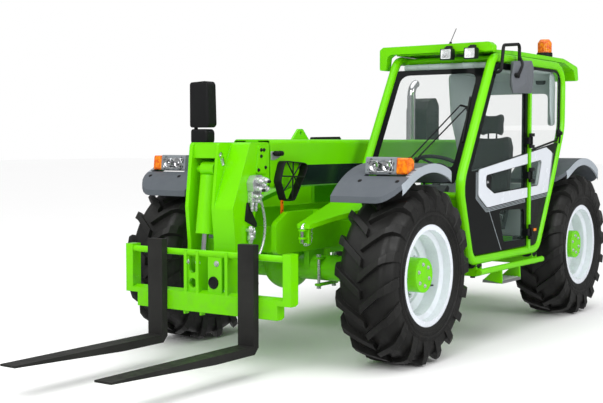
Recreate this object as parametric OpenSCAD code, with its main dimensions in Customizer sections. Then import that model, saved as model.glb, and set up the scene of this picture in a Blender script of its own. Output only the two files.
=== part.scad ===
// Compact telehandler with side cab, telescopic boom, fork carriage and four steered wheels.
// Lengths are in millimetres. +X points forward, +Y to the driver's left, +Z up.
// Every module works in the axle frame, with x = 0 at the front axle and z = 0 on the ground;
// place() then moves it so that the origin is below the middle of the whole machine.

/* [Wheels and axles] */
// Distance between the two axles
wheelbase = 2610; // [2500:10:2800]
// Distance between the centre planes of the left and right tyres
track = 1724; // [1660:4:1800]
// Diameter over the lugs
tyre_d = 1140; // [1100:5:1170]
// Width of the tyre
tyre_w = 400; // [360:5:420]
// Height of the lugs over the carcass
lug_h = 36; // [25:1:45]
// Lugs on each half of the tread
lug_count = 18; // [14:1:22]
// Diameter over the rim flanges
rim_d = 650; // [620:2:680]
// Distance from a tyre's centre plane in to its kingpin
kingpin_in = 172; // [160:2:190]
// Diameter of the axle tube
axle_d = 170; // [150:2:190]
// Diameter of the differential housing
diff_d = 320; // [280:5:340]
// Radius of the wheel spindle
spindle_r = 55; // [45:1:60]
// Running clearance of pins and spindles, on the radius
pin_gap = 0.06; // [0.02:0.01:0.1]

/* [Chassis] */
// Clear width between the two frame rails
rail_gap = 400; // [380:5:420]
// Thickness of a rail
rail_t = 40; // [30:1:50]
// Height of a rail
rail_h = 270; // [240:5:280]
// Rear end of the machine, behind the rear axle
rear_overhang = 620; // [600:5:680]
// Height of the underside of the cab and the engine tray
belly_z = 566; // [556:2:576]

/* [Boom] */
// Lateral place of the boom's centre plane
boom_y = -60; // [-70:1:-50]
// Width of the outer boom section
boom_w = 300; // [290:2:310]
// Height of the outer boom section
boom_h = 320; // [300:2:330]
// Height of the boom's centre line when lowered
boom_z = 1270; // [1260:2:1290]
// Wall of both boom sections
boom_wall = 10; // [8:1:14]
// Play between the inner and the outer section
boom_play = 8; // [6:1:10]
// Front end of the outer section, ahead of the front axle
boom_front = 400; // [380:5:420]
// Boom pivot, behind the rear axle
boom_pivot_back = 270; // [240:5:290]
// Radius of the boom pivot pin
pivot_r = 45; // [40:1:50]

/* [Carriage and forks] */
// Width of the fork carriage
carriage_w = 1320; // [1260:10:1380]
// Height of the carriage pivot
tilt_z = 545; // [530:5:560]
// Place of the carriage pivot, ahead of the front axle
tilt_x = 725; // [715:5:735]
// Radius of the carriage pivot pin
tilt_r = 32; // [28:1:36]
// Length of the fork blades ahead of the shank
fork_l = 1200; // [1000:20:1300]
// Width of a fork
fork_w = 120; // [100:5:130]
// Thickness of a fork at its heel
fork_t = 50; // [40:1:55]
// Distance between the centres of the forks
fork_spread = 726; // [680:2:780]
// Underside of the fork heel over the ground
fork_z = 140; // [120:5:160]

/* [Cab] */
// Outer face of the cab's left side
cab_left = 1018; // [1000:2:1030]
// Outer face of the cab's right side
cab_right = 190; // [185:1:196]
// Diameter of the cab's frame tubes
cab_tube = 64; // [56:1:70]
// Thickness of the window glass
glass_t = 6; // [5:0.5:8]
// Thickness of the cab's sheet panels
panel_t = 30; // [24:1:34]
// Gap around the door
door_gap = 6; // [5:0.5:8]
// Height of the cab from its underside to its roof
cab_h = 1490; // [1440:5:1540]
// Share of the bay between the wheels that lies ahead of the door's hinge post
door_share = 0.7424; // [0.72:0.0004:0.76]

/* [Mudguards] */
// Gap between the tyre's top and the mudguard
guard_gap = 112; // [100:1:120]
// Thickness of the mudguards
guard_t = 26; // [20:1:30]
// Depth of the lip along a mudguard's outer edge
lip_h = 30; // [20:1:40]

/* [Hidden] */
$fn = 48;
axle_z = tyre_d / 2;
rear_x = -wheelbase;
wheel_y = track / 2;
kingpin_y = wheel_y - kingpin_in;
rail_z = axle_z + axle_d / 2 + 35;
rail_top = rail_z + rail_h;
rail_l = boom_y + rail_gap / 2;
rail_r = boom_y - rail_gap / 2;
tail_x = rear_x - rear_overhang;
fork_back = 892;
fork_tip = fork_back + fork_t + fork_l;
x_shift = -(fork_tip + tail_x) / 2;
pivot_x = rear_x - boom_pivot_back;
boom_l = boom_y + boom_w / 2;
boom_r = boom_y - boom_w / 2;
boom_top = boom_z + boom_h / 2;
boom_bot = boom_z - boom_h / 2;
in_w = boom_w - 2 * boom_wall - 2 * boom_play;
in_h = boom_h - 2 * boom_wall - 2 * boom_play;
bay_front = -(tyre_d / 2 + 120);
bay_rear = rear_x + tyre_d / 2 + 100;
post_x = bay_front + door_share * (bay_rear - bay_front);

// Places drawn for the first machine's cab, carried over to the present bay and cab height.
function cab_x(x) = bay_front + (x + 690) * (bay_front - bay_rear) / 1250;
function cab_z(z) = belly_z + (z - 566) * cab_h / 1490;
function cab_at(x, z) = [cab_x(x), cab_z(z)];

lime = [0.42, 0.80, 0.02];
lime_dark = [0.20, 0.55, 0.03];
black = [0.06, 0.06, 0.07];
grey = [0.42, 0.43, 0.45];
pale = [0.86, 0.88, 0.90];
steel = [0.75, 0.76, 0.78];
amber = [1.0, 0.45, 0.05];
clear = [0.75, 0.85, 0.85, 0.35];

// Vector helpers and rounded outlines

function unit(v) = v / norm(v);

// Arc of n + 1 points that rounds the corner b between a and c with radius r.
function corner_arc(a, b, c, r, n) =
  let (u = unit(a - b), v = unit(c - b),
       half = acos(min(1, max(-1, u * v))) / 2,
       centre = b + unit(u + v) * r / sin(half),
       e0 = b + u * r / tan(half) - centre,
       e1 = b + v * r / tan(half) - centre,
       turn = 180 - 2 * half)
  [for (i = [0:n]) centre + (e0 * sin((1 - i / n) * turn) + e1 * sin(i / n * turn)) / sin(turn)];

// Closed outline through corners, each rounded by its own radius.
function rounded_loop(corners, radii, n = 6) =
  let (k = len(corners))
  [for (i = [0:k - 1])
     each (radii[i] <= 0 ? [corners[i]]
       : corner_arc(corners[(i + k - 1) % k], corners[i], corners[(i + 1) % k], radii[i], n))];

// Open line through corners, with every inner corner rounded by r.
function rounded_line(corners, r, n = 5) =
  let (k = len(corners))
  concat([corners[0]],
    [for (i = [1:1:k - 2]) each corner_arc(corners[i - 1], corners[i], corners[i + 1], r, n)],
    [corners[k - 1]]);

function tangent(path, i, closed) =
  let (k = len(path))
  closed ? unit(path[(i + 1) % k] - path[(i + k - 1) % k])
  : unit(path[min(i + 1, k - 1)] - path[max(i - 1, 0)]);

// Round bar swept along a path; up is a direction that the path never follows.
module swept_bar(path, r, up = [0, 1, 0], sides = 12, closed = false) {
  k = len(path);
  rings = closed ? k : k - 1;
  points = [for (i = [0:k - 1])
    let (t = tangent(path, i, closed), s = unit(cross(t, up)), w = cross(s, t))
    for (j = [0:sides - 1]) path[i] + r * (cos(360 * j / sides) * s + sin(360 * j / sides) * w)];
  walls = [for (i = [0:rings - 1]) for (j = [0:sides - 1])
    let (a = i * sides + j, b = i * sides + (j + 1) % sides,
         c = ((i + 1) % k) * sides + (j + 1) % sides, d = ((i + 1) % k) * sides + j)
    [a, b, c, d]];
  caps = closed ? [] : [[for (j = [sides - 1:-1:0]) j], [for (j = [0:sides - 1]) (k - 1) * sides + j]];
  polyhedron(points, concat(walls, caps), convexity = 6);
}

// Rod between two points.
module rod(a, b, r) {
  d = b - a;
  translate(a) rotate([0, acos(d[2] / norm(d)), atan2(d[1], d[0])]) cylinder(h = norm(d), r = r);
}

// Bar along Y from y0 to y1 at x and z.
module y_bar(x, z, y0, y1, r) {
  translate([x, y0, z]) rotate([-90, 0, 0]) cylinder(h = y1 - y0, r = r);
}

// Block given by its two corners.
module block(lo, hi) { translate(lo) cube(hi - lo); }

// Plate of an outline in the XZ plane, from y0 to y1.
module xz_plate(y0, y1) { translate([0, y1, 0]) rotate([90, 0, 0]) linear_extrude(y1 - y0) children(); }

// Plate of an outline in the YZ plane, from x0 to x1.
module yz_plate(x0, x1) {
  translate([x0, 0, 0]) rotate([90, 0, 90]) linear_extrude(x1 - x0) children();
}

module place() { translate([x_shift, 0, 0]) children(); }

module both_sides() { children(); mirror([0, 1, 0]) children(); }

// Wheels

// Solid of revolution about the Y axis from a profile of (radius, y).
module spun() { rotate([-90, 0, 0]) rotate_extrude($fn = 96) children(); }

carcass_r = tyre_d / 2 - lug_h;
lug_pitch = PI * tyre_d / lug_count;

// Room that the lugs fill: their tops and shoulders as one solid of revolution.
module tread_envelope() {
  r = tyre_d / 2;
  half = tyre_w / 2;
  spun() polygon([[0.7 * r, -half + 9], [0.77 * r, -half], [r - 62, -half], [r - 10, -half + 26],
    [r, -half + 70],
    [r, half - 70], [r - 10, half - 26], [r - 62, half], [0.77 * r, half], [0.7 * r, half - 9]]);
}

// One lug of the left half of the tread, seen from above on the tyre's top, with its nose forward.
module lug_plan() {
  half = tyre_w / 2;
  polygon([[0.5 * lug_pitch, -8], [0.2 * lug_pitch, 0.31 * half], [-0.07 * lug_pitch, 0.64 * half],
    [-0.25 * lug_pitch, half + 4], [-0.56 * lug_pitch, half + 4], [-0.32 * lug_pitch, 0.67 * half],
    [-0.06 * lug_pitch, 0.33 * half], [0.24 * lug_pitch, -8]]);
}

module lugs() {
  for (i = [0:lug_count - 1]) {
    rotate([0, i * 360 / lug_count, 0]) translate([0, 0, 0.71 * tyre_d / 2])
      linear_extrude(0.35 * tyre_d / 2) lug_plan();
    rotate([0, (i + 0.5) * 360 / lug_count, 0]) translate([0, 0, 0.71 * tyre_d / 2])
      linear_extrude(0.35 * tyre_d / 2) mirror([0, 1]) lug_plan();
  }
}

module tyre() {
  color(black) {
    spun() carcass_outline();
    intersection() {
      tread_envelope();
      lugs();
    }
  }
}

// Outline of the tyre below its lugs: beads inside the rim's flanges and a ring on the sidewall.
module carcass_outline() {
  r0 = rim_d / 2;
  half = tyre_w / 2 - 8;
  side = [[r0 - 21.7, rim_half - 18.6], [r0 + 0.4, rim_half - 10.4], [r0 + 0.4, rim_half + 4],
    [r0 + 34, half],
    [r0 + 56, half], [r0 + 60, half + 4], [r0 + 68, half + 4], [r0 + 72, half], [carcass_r - 60, half],
    [carcass_r, half - 50]];
  radii = [0, 0, 0, 40, 0, 0, 0, 0, 60, 60];
  last = len(side) - 1;
  polygon(rounded_loop(concat(side, [for (i = [last:-1:0]) [side[i][0], -side[i][1]]]),
    concat(radii, [for (i = [last:-1:0]) radii[i]])));
}

hub_face = 138;
hub_r = 108;
rim_half = tyre_w / 2 - 22;

// Drop-centre rim with its disc and the planetary hub, outer face towards +Y.
module rim() {
  r0 = rim_d / 2;
  seat = r0 - 22;
  color(pale) difference() {
    union() {
      spun() polygon([[seat, -rim_half], [r0, -rim_half], [r0, -rim_half + 10], [seat, -rim_half + 18],
        [seat, rim_half - 18], [r0, rim_half - 10], [r0, rim_half],
        [seat - 14, rim_half], [seat - 18, rim_half - 50], [seat - 46, rim_half - 66], [seat - 50, 30],
        [hub_r + 92, 14], [hub_r + 86, -2], [hub_r, -2], [hub_r, -20],
        [hub_r + 96, -20], [seat - 50, 6], [seat - 50, -40], [seat - 22, -70], [seat - 22, -rim_half]]);
      spun() polygon([[0, -90], [hub_r + 10, -90], [hub_r + 10, -60], [hub_r, -46], [hub_r, hub_face - 8],
        [hub_r - 8, hub_face], [0, hub_face]]);
    }
    y_bar(0, 0, -100, 20, spindle_r + pin_gap);
  }
}

// Wheel at its place: front is 1 for the front axle, side is 1 for the left.
module at_wheel(front, side) {
  translate([front ? 0 : rear_x, side * wheel_y, axle_z]) mirror([0, side > 0 ? 0 : 1, 0]) children();
}

// Axles and knuckles

yoke_z = 118;
yoke_t = 36;
kingpin_r = 28;

// Housing from kingpin to kingpin with a C-shaped yoke at each end.
module axle(diff_side) {
  color(lime_dark) {
    y_bar(0, axle_z, -kingpin_y + 90, kingpin_y - 90, axle_d / 2);
    intersection() {
      translate([0, boom_y, axle_z]) sphere(r = diff_d / 2, $fn = 48);
      y_bar(0, axle_z, boom_y - diff_d / 2.4, boom_y + diff_d / 2.4, diff_d / 2);
    }
    y_bar(diff_side * diff_d / 2.6, axle_z, boom_y - 60, boom_y + 60, 60);
    for (y = [rail_l, rail_r - rail_t])
      block([-90, y, axle_z], [90, y + rail_t, rail_z]);
    both_sides() {
      for (s = [1, -1]) translate([0, kingpin_y, axle_z + s * (yoke_z + yoke_t / 2)])
        cylinder(h = yoke_t, r = 62, center = true);
      for (s = [1, -1]) block([-50, kingpin_y - 120, axle_z + s * (yoke_z + yoke_t / 2) - yoke_t / 2],
        [50, kingpin_y, axle_z + s * (yoke_z + yoke_t / 2) + yoke_t / 2]);
      block([-60, kingpin_y - 150, axle_z - yoke_z - yoke_t],
        [60, kingpin_y - 90, axle_z + yoke_z + yoke_t]);
      translate([0, kingpin_y, axle_z - yoke_z - 1]) cylinder(h = 60, r = kingpin_r);
      translate([0, kingpin_y, axle_z + yoke_z + 1 - 60]) cylinder(h = 60, r = kingpin_r);
    }
  }
}

// Knuckle that turns on the kingpins and carries the spindle.
module knuckle() {
  clear_z = 0.5;
  color(lime_dark) difference() {
    union() {
      translate([0, kingpin_y, axle_z - yoke_z + clear_z]) cylinder(h = 2 * (yoke_z - clear_z), r = 58);
      y_bar(0, axle_z, kingpin_y, wheel_y - 92, 88);
      y_bar(0, axle_z, kingpin_y, wheel_y + 8, spindle_r);
    }
    for (s = [0, 1]) translate([0, kingpin_y, axle_z + (s ? yoke_z - 62 : -yoke_z)])
      cylinder(h = 62, r = kingpin_r + pin_gap);
  }
}

// Chassis

lift_pin_x = rear_x - 30;
lift_pin_z = rail_z + 180;
guard_post = kingpin_y - 100;
lift_pin_r = 30;
cab_bracket_x = [cab_x(-800), cab_x(-1760)];
bracket_w = 90;
bracket_h = 80;
tray_r = -(wheel_y + 123);

// Outline of one frame rail with the tower that carries the boom pivot.
module rail_outline() {
  polygon(rounded_loop([[tail_x + 170, rail_z], [tail_x + 170, rail_top + 20], [pivot_x - 110, boom_z + 70],
    [pivot_x - 60, boom_z + 110], [pivot_x + 80, boom_z + 110], [pivot_x + 150, boom_z - 20],
    [rear_x + 260, rail_top], [330, rail_top], [460, rail_top - 70], [460, rail_z]],
    [0, 60, 40, 60, 60, 80, 120, 40, 40, 40]));
}

module chassis_frame() {
  color(lime) {
    xz_plate(rail_l, rail_l + rail_t) rail_outline();
    xz_plate(rail_r - rail_t, rail_r) rail_outline();
    block([400, rail_r, rail_z + 10], [440, rail_l, rail_top - 90]);
    block([-330, rail_r, rail_z + 4], [-250, rail_l, rail_z + 90]);
    block([-1400, rail_r, rail_z + 4], [-1320, rail_l, rail_z + 60]);
    block([tail_x + 180, rail_r, rail_z + 10], [tail_x + 220, rail_l, rail_top]);
    y_bar(lift_pin_x, lift_pin_z, rail_r - 1, rail_l + 1, lift_pin_r);
    y_bar(pivot_x, boom_z, rail_r - rail_t - 25, rail_l + rail_t + 25, pivot_r);
    for (x = cab_bracket_x) {
      block([x - bracket_w / 2, rail_l, belly_z - bracket_h],
        [x + bracket_w / 2, rail_l + rail_t, rail_z + 20]);
      block([x - bracket_w / 2, rail_l, belly_z - bracket_h], [x + bracket_w / 2, cab_left - 20, belly_z]);
      block([x - bracket_w / 2, rail_r - rail_t, belly_z - bracket_h],
        [x + bracket_w / 2, rail_r, rail_z + 20]);
      block([x - bracket_w / 2, tray_r + 30, belly_z - bracket_h], [x + bracket_w / 2, rail_r, belly_z]);
    }
    for (x = [0, rear_x]) {
      block([x - 40, rail_l, rail_top - 60], [x + 40, guard_post + 35, rail_top]);
      block([x - 40, -guard_post - 35, rail_top - 60], [x + 40, rail_r, rail_top]);
      both_sides() block([x - 40, guard_post, rail_top - 60],
        [x + 40, guard_post + 35, tyre_d + guard_gap - 1.7]);
    }
  }
}

// Rear body: counterweight between the rails' ends with side lamps' panels and a shelf for the air cleaner.
shelf_z = rail_top + 220;
module rear_body() {
  color(lime) {
    difference() {
      xz_plate(boom_y - 330, boom_y + 330) polygon(rounded_loop(
        [[tail_x, 470], [tail_x, 900], [tail_x + 60, 1010], [tail_x + 169.7, 1010], [tail_x + 169.7, 430],
         [tail_x + 60, 430]], [40, 60, 40, 0, 0, 30]));
      block([tail_x - 1, boom_y - 75, 540], [tail_x + 110, boom_y + 75, 1100]);
    }
    block([rear_x - 380, -guard_post + 12, shelf_z - 20], [rear_x + 420, rail_r - rail_t - 10, shelf_z]);
    block([rear_x - 200, rail_r - rail_t - 40, rail_top + 1],
      [rear_x + 200, rail_r - rail_t - 0.3, shelf_z]);
  }
}

module engine_tray() {
  color(lime_dark) {
    difference() {
      block([bay_rear, tray_r, belly_z], [bay_front, rail_r - rail_t - 1, hood_z]);
      block([bay_rear + 20, tray_r + 20, belly_z + 20], [bay_front - 20, rail_r - rail_t - 25, hood_z + 1]);
    }
    block([bay_rear, rail_r - rail_t - 25, hood_z - 1], [bay_front, rail_r - rail_t - 1, hood_top - 22.3]);
  }
}

module engine() {
  color([0.3, 0.3, 0.32]) {
    block([cab_x(-1820), tray_r + 125, belly_z + 20], [cab_x(-880), hood_in - 96, hood_z + 260]);
    block([cab_x(-1700), tray_r + 225, hood_z + 260], [cab_x(-1000), hood_in - 196, hood_z + 350]);
  }
}

// Engine hood: closed box shell that opens upward about its inner top edge.
hood_in = rail_r - rail_t - 24;
hood_top = belly_z + 649;
hood_z = belly_z + 234;
slot_count = 12;

// Section of the hood, moved inward by d at its outer walls.
module hood_section(d) {
  polygon(rounded_loop([[hood_in, hood_z + 0.3 - d], [hood_in, hood_top - d],
    [tray_r + 150 + 0.4 * d, hood_top - d],
    [tray_r + d, hood_top - 190 - 0.3 * d], [tray_r + d, hood_z + 0.3 - d]],
      [0, 0, 90 - d / 2, 60 - d / 2, 0]));
}

module engine_hood() {
  pitch = (bay_front - bay_rear - 340) / slot_count;
  color(lime) difference() {
    yz_plate(bay_rear, bay_front) hood_section(0);
    yz_plate(bay_rear + 22, bay_front - 22) hood_section(22);
    block([bay_rear - 10, hood_in - 3, hood_z - 30], [bay_front + 10, hood_in + 10, hood_top - 22]);
    for (i = [0:slot_count - 1]) translate([bay_rear + 180 + i * pitch, 0, 0])
      block([0, tray_r - 5, hood_z + 50], [0.45 * pitch, tray_r + 30, hood_z + 190]);
  }
}

// Front decks and mudguards

guard_in = guard_post;
guard_out = wheel_y + tyre_w / 2;
guard_r = tyre_d / 2 + 30;
guard_z = tyre_d + guard_gap - guard_r;
ear_hole = [445, 372];

// Sloped panels between the boom and the front mudguards, with two ears for a hitch pin on the left.
module front_decks() {
  color(lime) {
    intersection() {
      xz_plate(-700, 700) deck_outline();
      linear_extrude(rail_top + 640) {
        polygon([[440, 330], [440, 425], [250, 500], [100, guard_post - 0.5], [-100, guard_post - 0.5],
          [-250, 500],
          [-470, 420], [-470, 214]]);
        polygon([[440, -340], [440, -425], [250, -500], [100, -guard_post + 0.5], [-100, -guard_post + 0.5],
          [-250, -500], [-470, -420], [-470, -340]]);
      }
    }
    block([400, 334, rail_top - 190], [422, 408, rail_top - 78]);
    for (z = [rail_top - 160, rail_top - 110]) translate([0, 0, z]) linear_extrude(12) difference() {
      union() {
        translate([410, ear_hole[1] - 26]) square([ear_hole[0] - 410, 52]);
        translate(ear_hole) circle(r = 26);
      }
      translate(ear_hole) circle(r = 12);
    }
  }
}

module deck_outline() {
  polygon([[440, rail_top - 65], [440, rail_top - 95], [40, rail_top + 0.3], [-470, rail_top + 123],
    [-470, rail_top + 153]]);
}

// Ring of a mudguard's arch, with its underside lowered by drop.
module arch(drop) {
  translate([0, guard_z]) difference() {
    circle(r = guard_r + guard_t, $fn = 180);
    circle(r = guard_r - drop, $fn = 180);
  }
}

// Arched guard over one wheel, from x0 to x1 relative to the axle, with a lip along its outer edge.
module mudguard(x0, x1, inner, outer) {
  intersection() {
    union() {
      xz_plate(inner, outer) arch(0);
      xz_plate(outer - 14, outer) arch(lip_h);
    }
    translate([0, 0, axle_z + 230]) linear_extrude(tyre_d) polygon(rounded_loop(
      [[x0, inner - 1], [x1, inner - 1], [x1, outer], [x0, outer]], [0, 0, 150, 120]));
  }
}

module front_mudguards() {
  color(grey) both_sides() difference() {
    mudguard(-0.3 * tyre_d, 0.4 * tyre_d, guard_in, guard_out);
    block([lamp_x - 60.3, lamp_y - 110.3, lamp_z - 60], [lamp_x + 200, lamp_y + 185.3, lamp_z + 80]);
  }
}

module rear_mudguards() {
  color(grey) both_sides() translate([rear_x, 0, 0]) mudguard(-0.38 * tyre_d, 0.37 * tyre_d, guard_in,
    guard_out);
}

lamp_x = 250;
lamp_y = wheel_y - 17;
lamp_z = tyre_d + guard_gap + 10;

// Side outline of a lamp housing with a raked front, trimmed by d.
module lamp_outline(d) {
  polygon(rounded_loop([[lamp_x - 60, lamp_z - 52 + d], [lamp_x - 60, lamp_z + 38],
    [lamp_x - 26, lamp_z + 58 - d],
    [lamp_x + 22 - d, lamp_z + 58 - d], [lamp_x + 34 - d, lamp_z - 52 + d]], [0, 24, 30, 12, 16]));
}

module headlamps() {
  color(pale) both_sides() xz_plate(lamp_y - 110, lamp_y + 110) lamp_outline(0);
}

module amber_lamps() {
  color(amber) {
    both_sides() xz_plate(lamp_y + 110.3, lamp_y + 185) lamp_outline(4);
    translate([cab_x(-2250), left_y - 126, roof_z + 18.3]) {
      cylinder(h = 40, r = 62);
      cylinder(h = 130, r = 52);
      translate([0, 0, 129]) cylinder(h = 22, r1 = 52, r2 = 36);
    }
  }
}

// Cab

cab_tube_r = cab_tube / 2;
left_y = cab_left - cab_tube_r;
right_y = cab_right + cab_tube_r;
floor_z = belly_z + panel_t;
sill_z = belly_z + cab_tube_r;
roof_z = belly_z + cab_h;
crown_z = roof_z - 14 - cab_tube_r;
pane_r = right_y + cab_tube_r + 0.3;
pane_l = left_y - cab_tube_r - 0.3;
cowl = cab_at(-548, 1050);

// Corners of the cab's side outline along the tube's centre line, clockwise, and their radii.
side_corners = [cab_at(-505, 1120), [cab_x(-672), sill_z], [cab_x(-1800), sill_z], cab_at(-2090, 1120),
  cab_at(-2290, 1520), [cab_x(-2296), crown_z - 4], [cab_x(-1010), crown_z]];
side_radii = [250, 110, 110, 300, 300, 150, 110];

// The same corners moved inward by d.
function inset_corners(c, d) =
  let (k = len(c))
  [for (i = [0:k - 1])
    let (u = unit(c[i] - c[(i + k - 1) % k]), v = unit(c[(i + 1) % k] - c[i]),
         a = [u[1], -u[0]], b = [v[1], -v[0]])
    c[i] + d * (a + b) / (1 + a * b)];

// Point between two of the corners.
function side_point(i, j, f) = side_corners[i] * (1 - f) + side_corners[j] * f;

module side_outline(d) {
  polygon(rounded_loop(inset_corners(side_corners, d), [for (r = side_radii) max(r - d, 10)], 6));
}

function side_path(y) = [for (p = rounded_loop(side_corners, side_radii, 6)) [p[0], y, p[1]]];

module cab_frame() {
  color(lime) {
    swept_bar(side_path(left_y), cab_tube_r, [0, 1, 0], 12, true);
    swept_bar(side_path(right_y), cab_tube_r, [0, 1, 0], 12, true);
    for (p = [[-1120, crown_z - 6], [-2160, crown_z - 6], [-760, sill_z], [-1720, sill_z]])
      y_bar(cab_x(p[0]), p[1], right_y + 18, left_y - 18, cab_tube_r - 8);
    y_bar(cowl[0], cowl[1], right_y + 18, left_y - 18, cab_tube_r - 8);
    block([post_x - 18, left_y - 10, sill_z], [post_x + 18, left_y + cab_tube_r, crown_z]);
    for (z = hinge_z) {
      translate([hinge[0], hinge[1], z - 50]) cylinder(h = 100, r = hinge_r);
      for (s = [1, -1]) {
        translate([hinge[0], hinge[1], z + s * 43]) cylinder(h = 24, r = 14, center = true);
        block([post_x - 14, cab_left - 6, z + s * 43 - 12], [hinge[0], hinge[1] + 14, z + s * 43 + 12]);
      }
    }
  }
}

// Slab of thickness t along the line from a to b in the XZ plane, between the two side frames.
module cross_slab(a, b, t) {
  n = unit([b[1] - a[1], a[0] - b[0]]) * t / 2;
  xz_plate(pane_r, pane_l) polygon([a - n, b - n, b + n, a + n]);
}

waist_z = cab_z(1080);
cowl_z = cowl[1] - cab_tube_r + 8 - 0.3;

// Pale band around the lower side windows; it runs on over the hinge post to the rear quarter.
band_outer = [cab_at(-760, 1222), cab_at(-758, 1043), cab_at(-899, 956), cab_at(-1990, 1024),
  cab_at(-2074, 1330),
  cab_at(-1950, 1370)];
band_inner = [cab_at(-878, 1178), cab_at(-879, 1107), cab_at(-1008, 1053), cab_at(-1798, 1084),
  cab_at(-1868, 1272)];

module band(points, r) { polygon(rounded_loop(points, [for (p = points) r])); }

// Everything behind the hinge post and everything ahead of it, trimmed by d.
module behind_post(d) { translate([post_x - 18 - d - 3000, 0]) square([3000, 3000]); }
module ahead_of_post(d) { translate([post_x + 18 + d, 0]) square([3000, 3000]); }

module quarter_pane(d) {
  intersection() {
    offset_band(d);
    behind_post(40 + d);
  }
}

// Lower side window inside the band, made smaller by d.
module offset_band(d) {
  band([for (p = inset_corners(band_inner, d)) p], 24);
}

module cab_panels() {
  color(black) {
    block([cab_x(-1692), pane_r, belly_z + 0.3], [cab_x(-788), pane_l, floor_z]);
    cross_slab(side_point(2, 3, 0.16), side_point(2, 3, 0.92), 20);
    xz_plate(right_y - panel_t / 2, right_y + panel_t / 2) intersection() {
      side_outline(cab_tube_r + 0.3);
      translate([-4000, 0]) square([4000, waist_z]);
    }
    xz_plate(left_y - 6, left_y + 14) difference() {
      intersection() {
        side_outline(cab_tube_r + 0.3);
        behind_post(0.3);
      }
      above_waist(0);
      quarter_pane(0);
    }
  }
}

// Painted panel below the windscreen that closes the cab's foot well.
module cab_cowl() {
  color(lime) xz_plate(pane_r, pane_l) polygon([[cowl[0] - 10, cowl_z], [cowl[0] + 10, cowl_z],
    [cab_x(-690), belly_z + 90], [cab_x(-735.5), belly_z + 18], [cab_x(-735.5), belly_z + 40],
      [cab_x(-711), belly_z + 96]]);
}

module quarter_trim() {
  color(pale) xz_plate(left_y + 14.3, left_y + 21) difference() {
    intersection() {
      band(band_outer, 30);
      behind_post(8);
    }
    offset_band(-4);
  }
}

// Roof with a visor at the rear and a guard bar across its front.
module cab_roof() {
  visor = [[-1000, -13.7], [-1000, 4], [-1400, 18], [-2330, 18], [-2420, 4], [-2640, -34], [-2660, -140],
    [-2600, -150],
    [-2556, -66], [-2345, -13.7]];
  color(lime) {
    xz_plate(right_y, left_y) polygon(rounded_loop([for (p = visor) [cab_x(p[0]), roof_z + p[1]]],
      [0, 6, 60, 30, 60, 30, 10, 20, 30, 20]));
    yz_plate(cab_x(-1010), cab_x(-940)) polygon(rounded_loop([[cab_right - 78, roof_z - 118],
      [cab_right - 78, roof_z + 30],
      [cab_right - 50, roof_z + 50], [cab_left - 30, roof_z + 54], [cab_left, roof_z + 30],
        [cab_left, roof_z - 12],
      [left_y - 20, roof_z - 12], [left_y - 70, roof_z - 5], [cab_right + 18, roof_z - 6],
        [cab_right - 14, roof_z - 26],
      [cab_right - 24, roof_z - 122]], [12, 16, 16, 20, 16, 8, 10, 10, 16, 16, 8]));
    for (f = [0.25, 0.5, 0.75]) let (y = right_y * (1 - f) + left_y * f)
      xz_plate(y - 22, y + 22) polygon([[cab_x(-1380), roof_z + 10], [cab_x(-1420), roof_z + 28],
        [cab_x(-2060), roof_z + 28],
        [cab_x(-2100), roof_z + 10]]);
  }
}

module cab_glass() {
  color(clear) {
    cross_slab(side_point(0, 6, 0.012), side_point(0, 6, 0.91), glass_t);
    cross_slab(side_point(3, 4, 0.03), side_point(3, 4, 0.96), glass_t);
    cross_slab(side_point(4, 5, 0.05), side_point(4, 5, 0.68), glass_t);
    xz_plate(right_y - glass_t / 2, right_y + glass_t / 2) intersection() {
      side_outline(cab_tube_r + 0.3);
      translate([-4000, waist_z + 0.3]) square([4000, 2000]);
    }
    xz_plate(left_y - glass_t / 2, left_y + glass_t / 2) {
      intersection() {
        side_outline(cab_tube_r + 0.3);
        behind_post(0.3);
        above_waist(0.3);
      }
      quarter_pane(0.3);
    }
  }
}

cab_mid = (cab_left + cab_right) / 2 + 6;

// Seat on a pedestal, with a raked back and a head rest.
module seat() {
  color(black) {
    block([cab_x(-1600), cab_mid - 140, floor_z + 0.3], [cab_x(-1300), cab_mid + 150, cab_z(760)]);
    xz_plate(cab_mid - 210, cab_mid + 210) polygon(rounded_loop([cab_at(-1700, 750), cab_at(-1700, 876),
      cab_at(-1240, 884),
      cab_at(-1170, 850), cab_at(-1190, 760)], [20, 30, 60, 30, 20]));
    xz_plate(cab_mid - 200, cab_mid + 200) polygon(rounded_loop([cab_at(-1720, 800), cab_at(-1810, 1000),
      cab_at(-1860, 1440),
      cab_at(-1830, 1480), cab_at(-1770, 1470), cab_at(-1696, 1000), cab_at(-1678, 840)],
        [20, 60, 30, 30, 30, 60, 30]));
    xz_plate(cab_mid - 110, cab_mid + 110) polygon(rounded_loop([cab_at(-1850, 1440),
      cab_at(-1864, 1600), cab_at(-1840, 1640),
      cab_at(-1795, 1630), cab_at(-1785, 1450)], [5, 20, 15, 20, 5]));
  }
}

wheel_c = [cab_x(-1010), cab_mid - 25, cab_z(1225)];
wheel_tilt = -28;
column_r = 12;
module console() {
  color(black) {
    xz_plate(cab_mid - 230, cab_mid + 170) polygon(rounded_loop([[cab_x(-900), floor_z + 0.3],
      cab_at(-930, 900),
      cab_at(-890, 1010), cab_at(-800, 1000), [cab_x(-790), floor_z + 0.3]], [0, 60, 30, 60, 0]));
    translate(wheel_c) rotate([0, wheel_tilt, 0]) {
      translate([0, 0, -380]) cylinder(h = 360, r = 28);
      translate([0, 0, -30]) cylinder(h = 38, r = column_r);
    }
    xz_plate(pane_r, cab_mid - 230) polygon(rounded_loop([[cab_x(-1560), floor_z + 0.3], cab_at(-1560,
      1010),
      cab_at(-1300, 1030), cab_at(-1180, 960), [cab_x(-1180), floor_z + 0.3]], [0, 40, 60, 60, 0]));
  }
}

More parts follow.
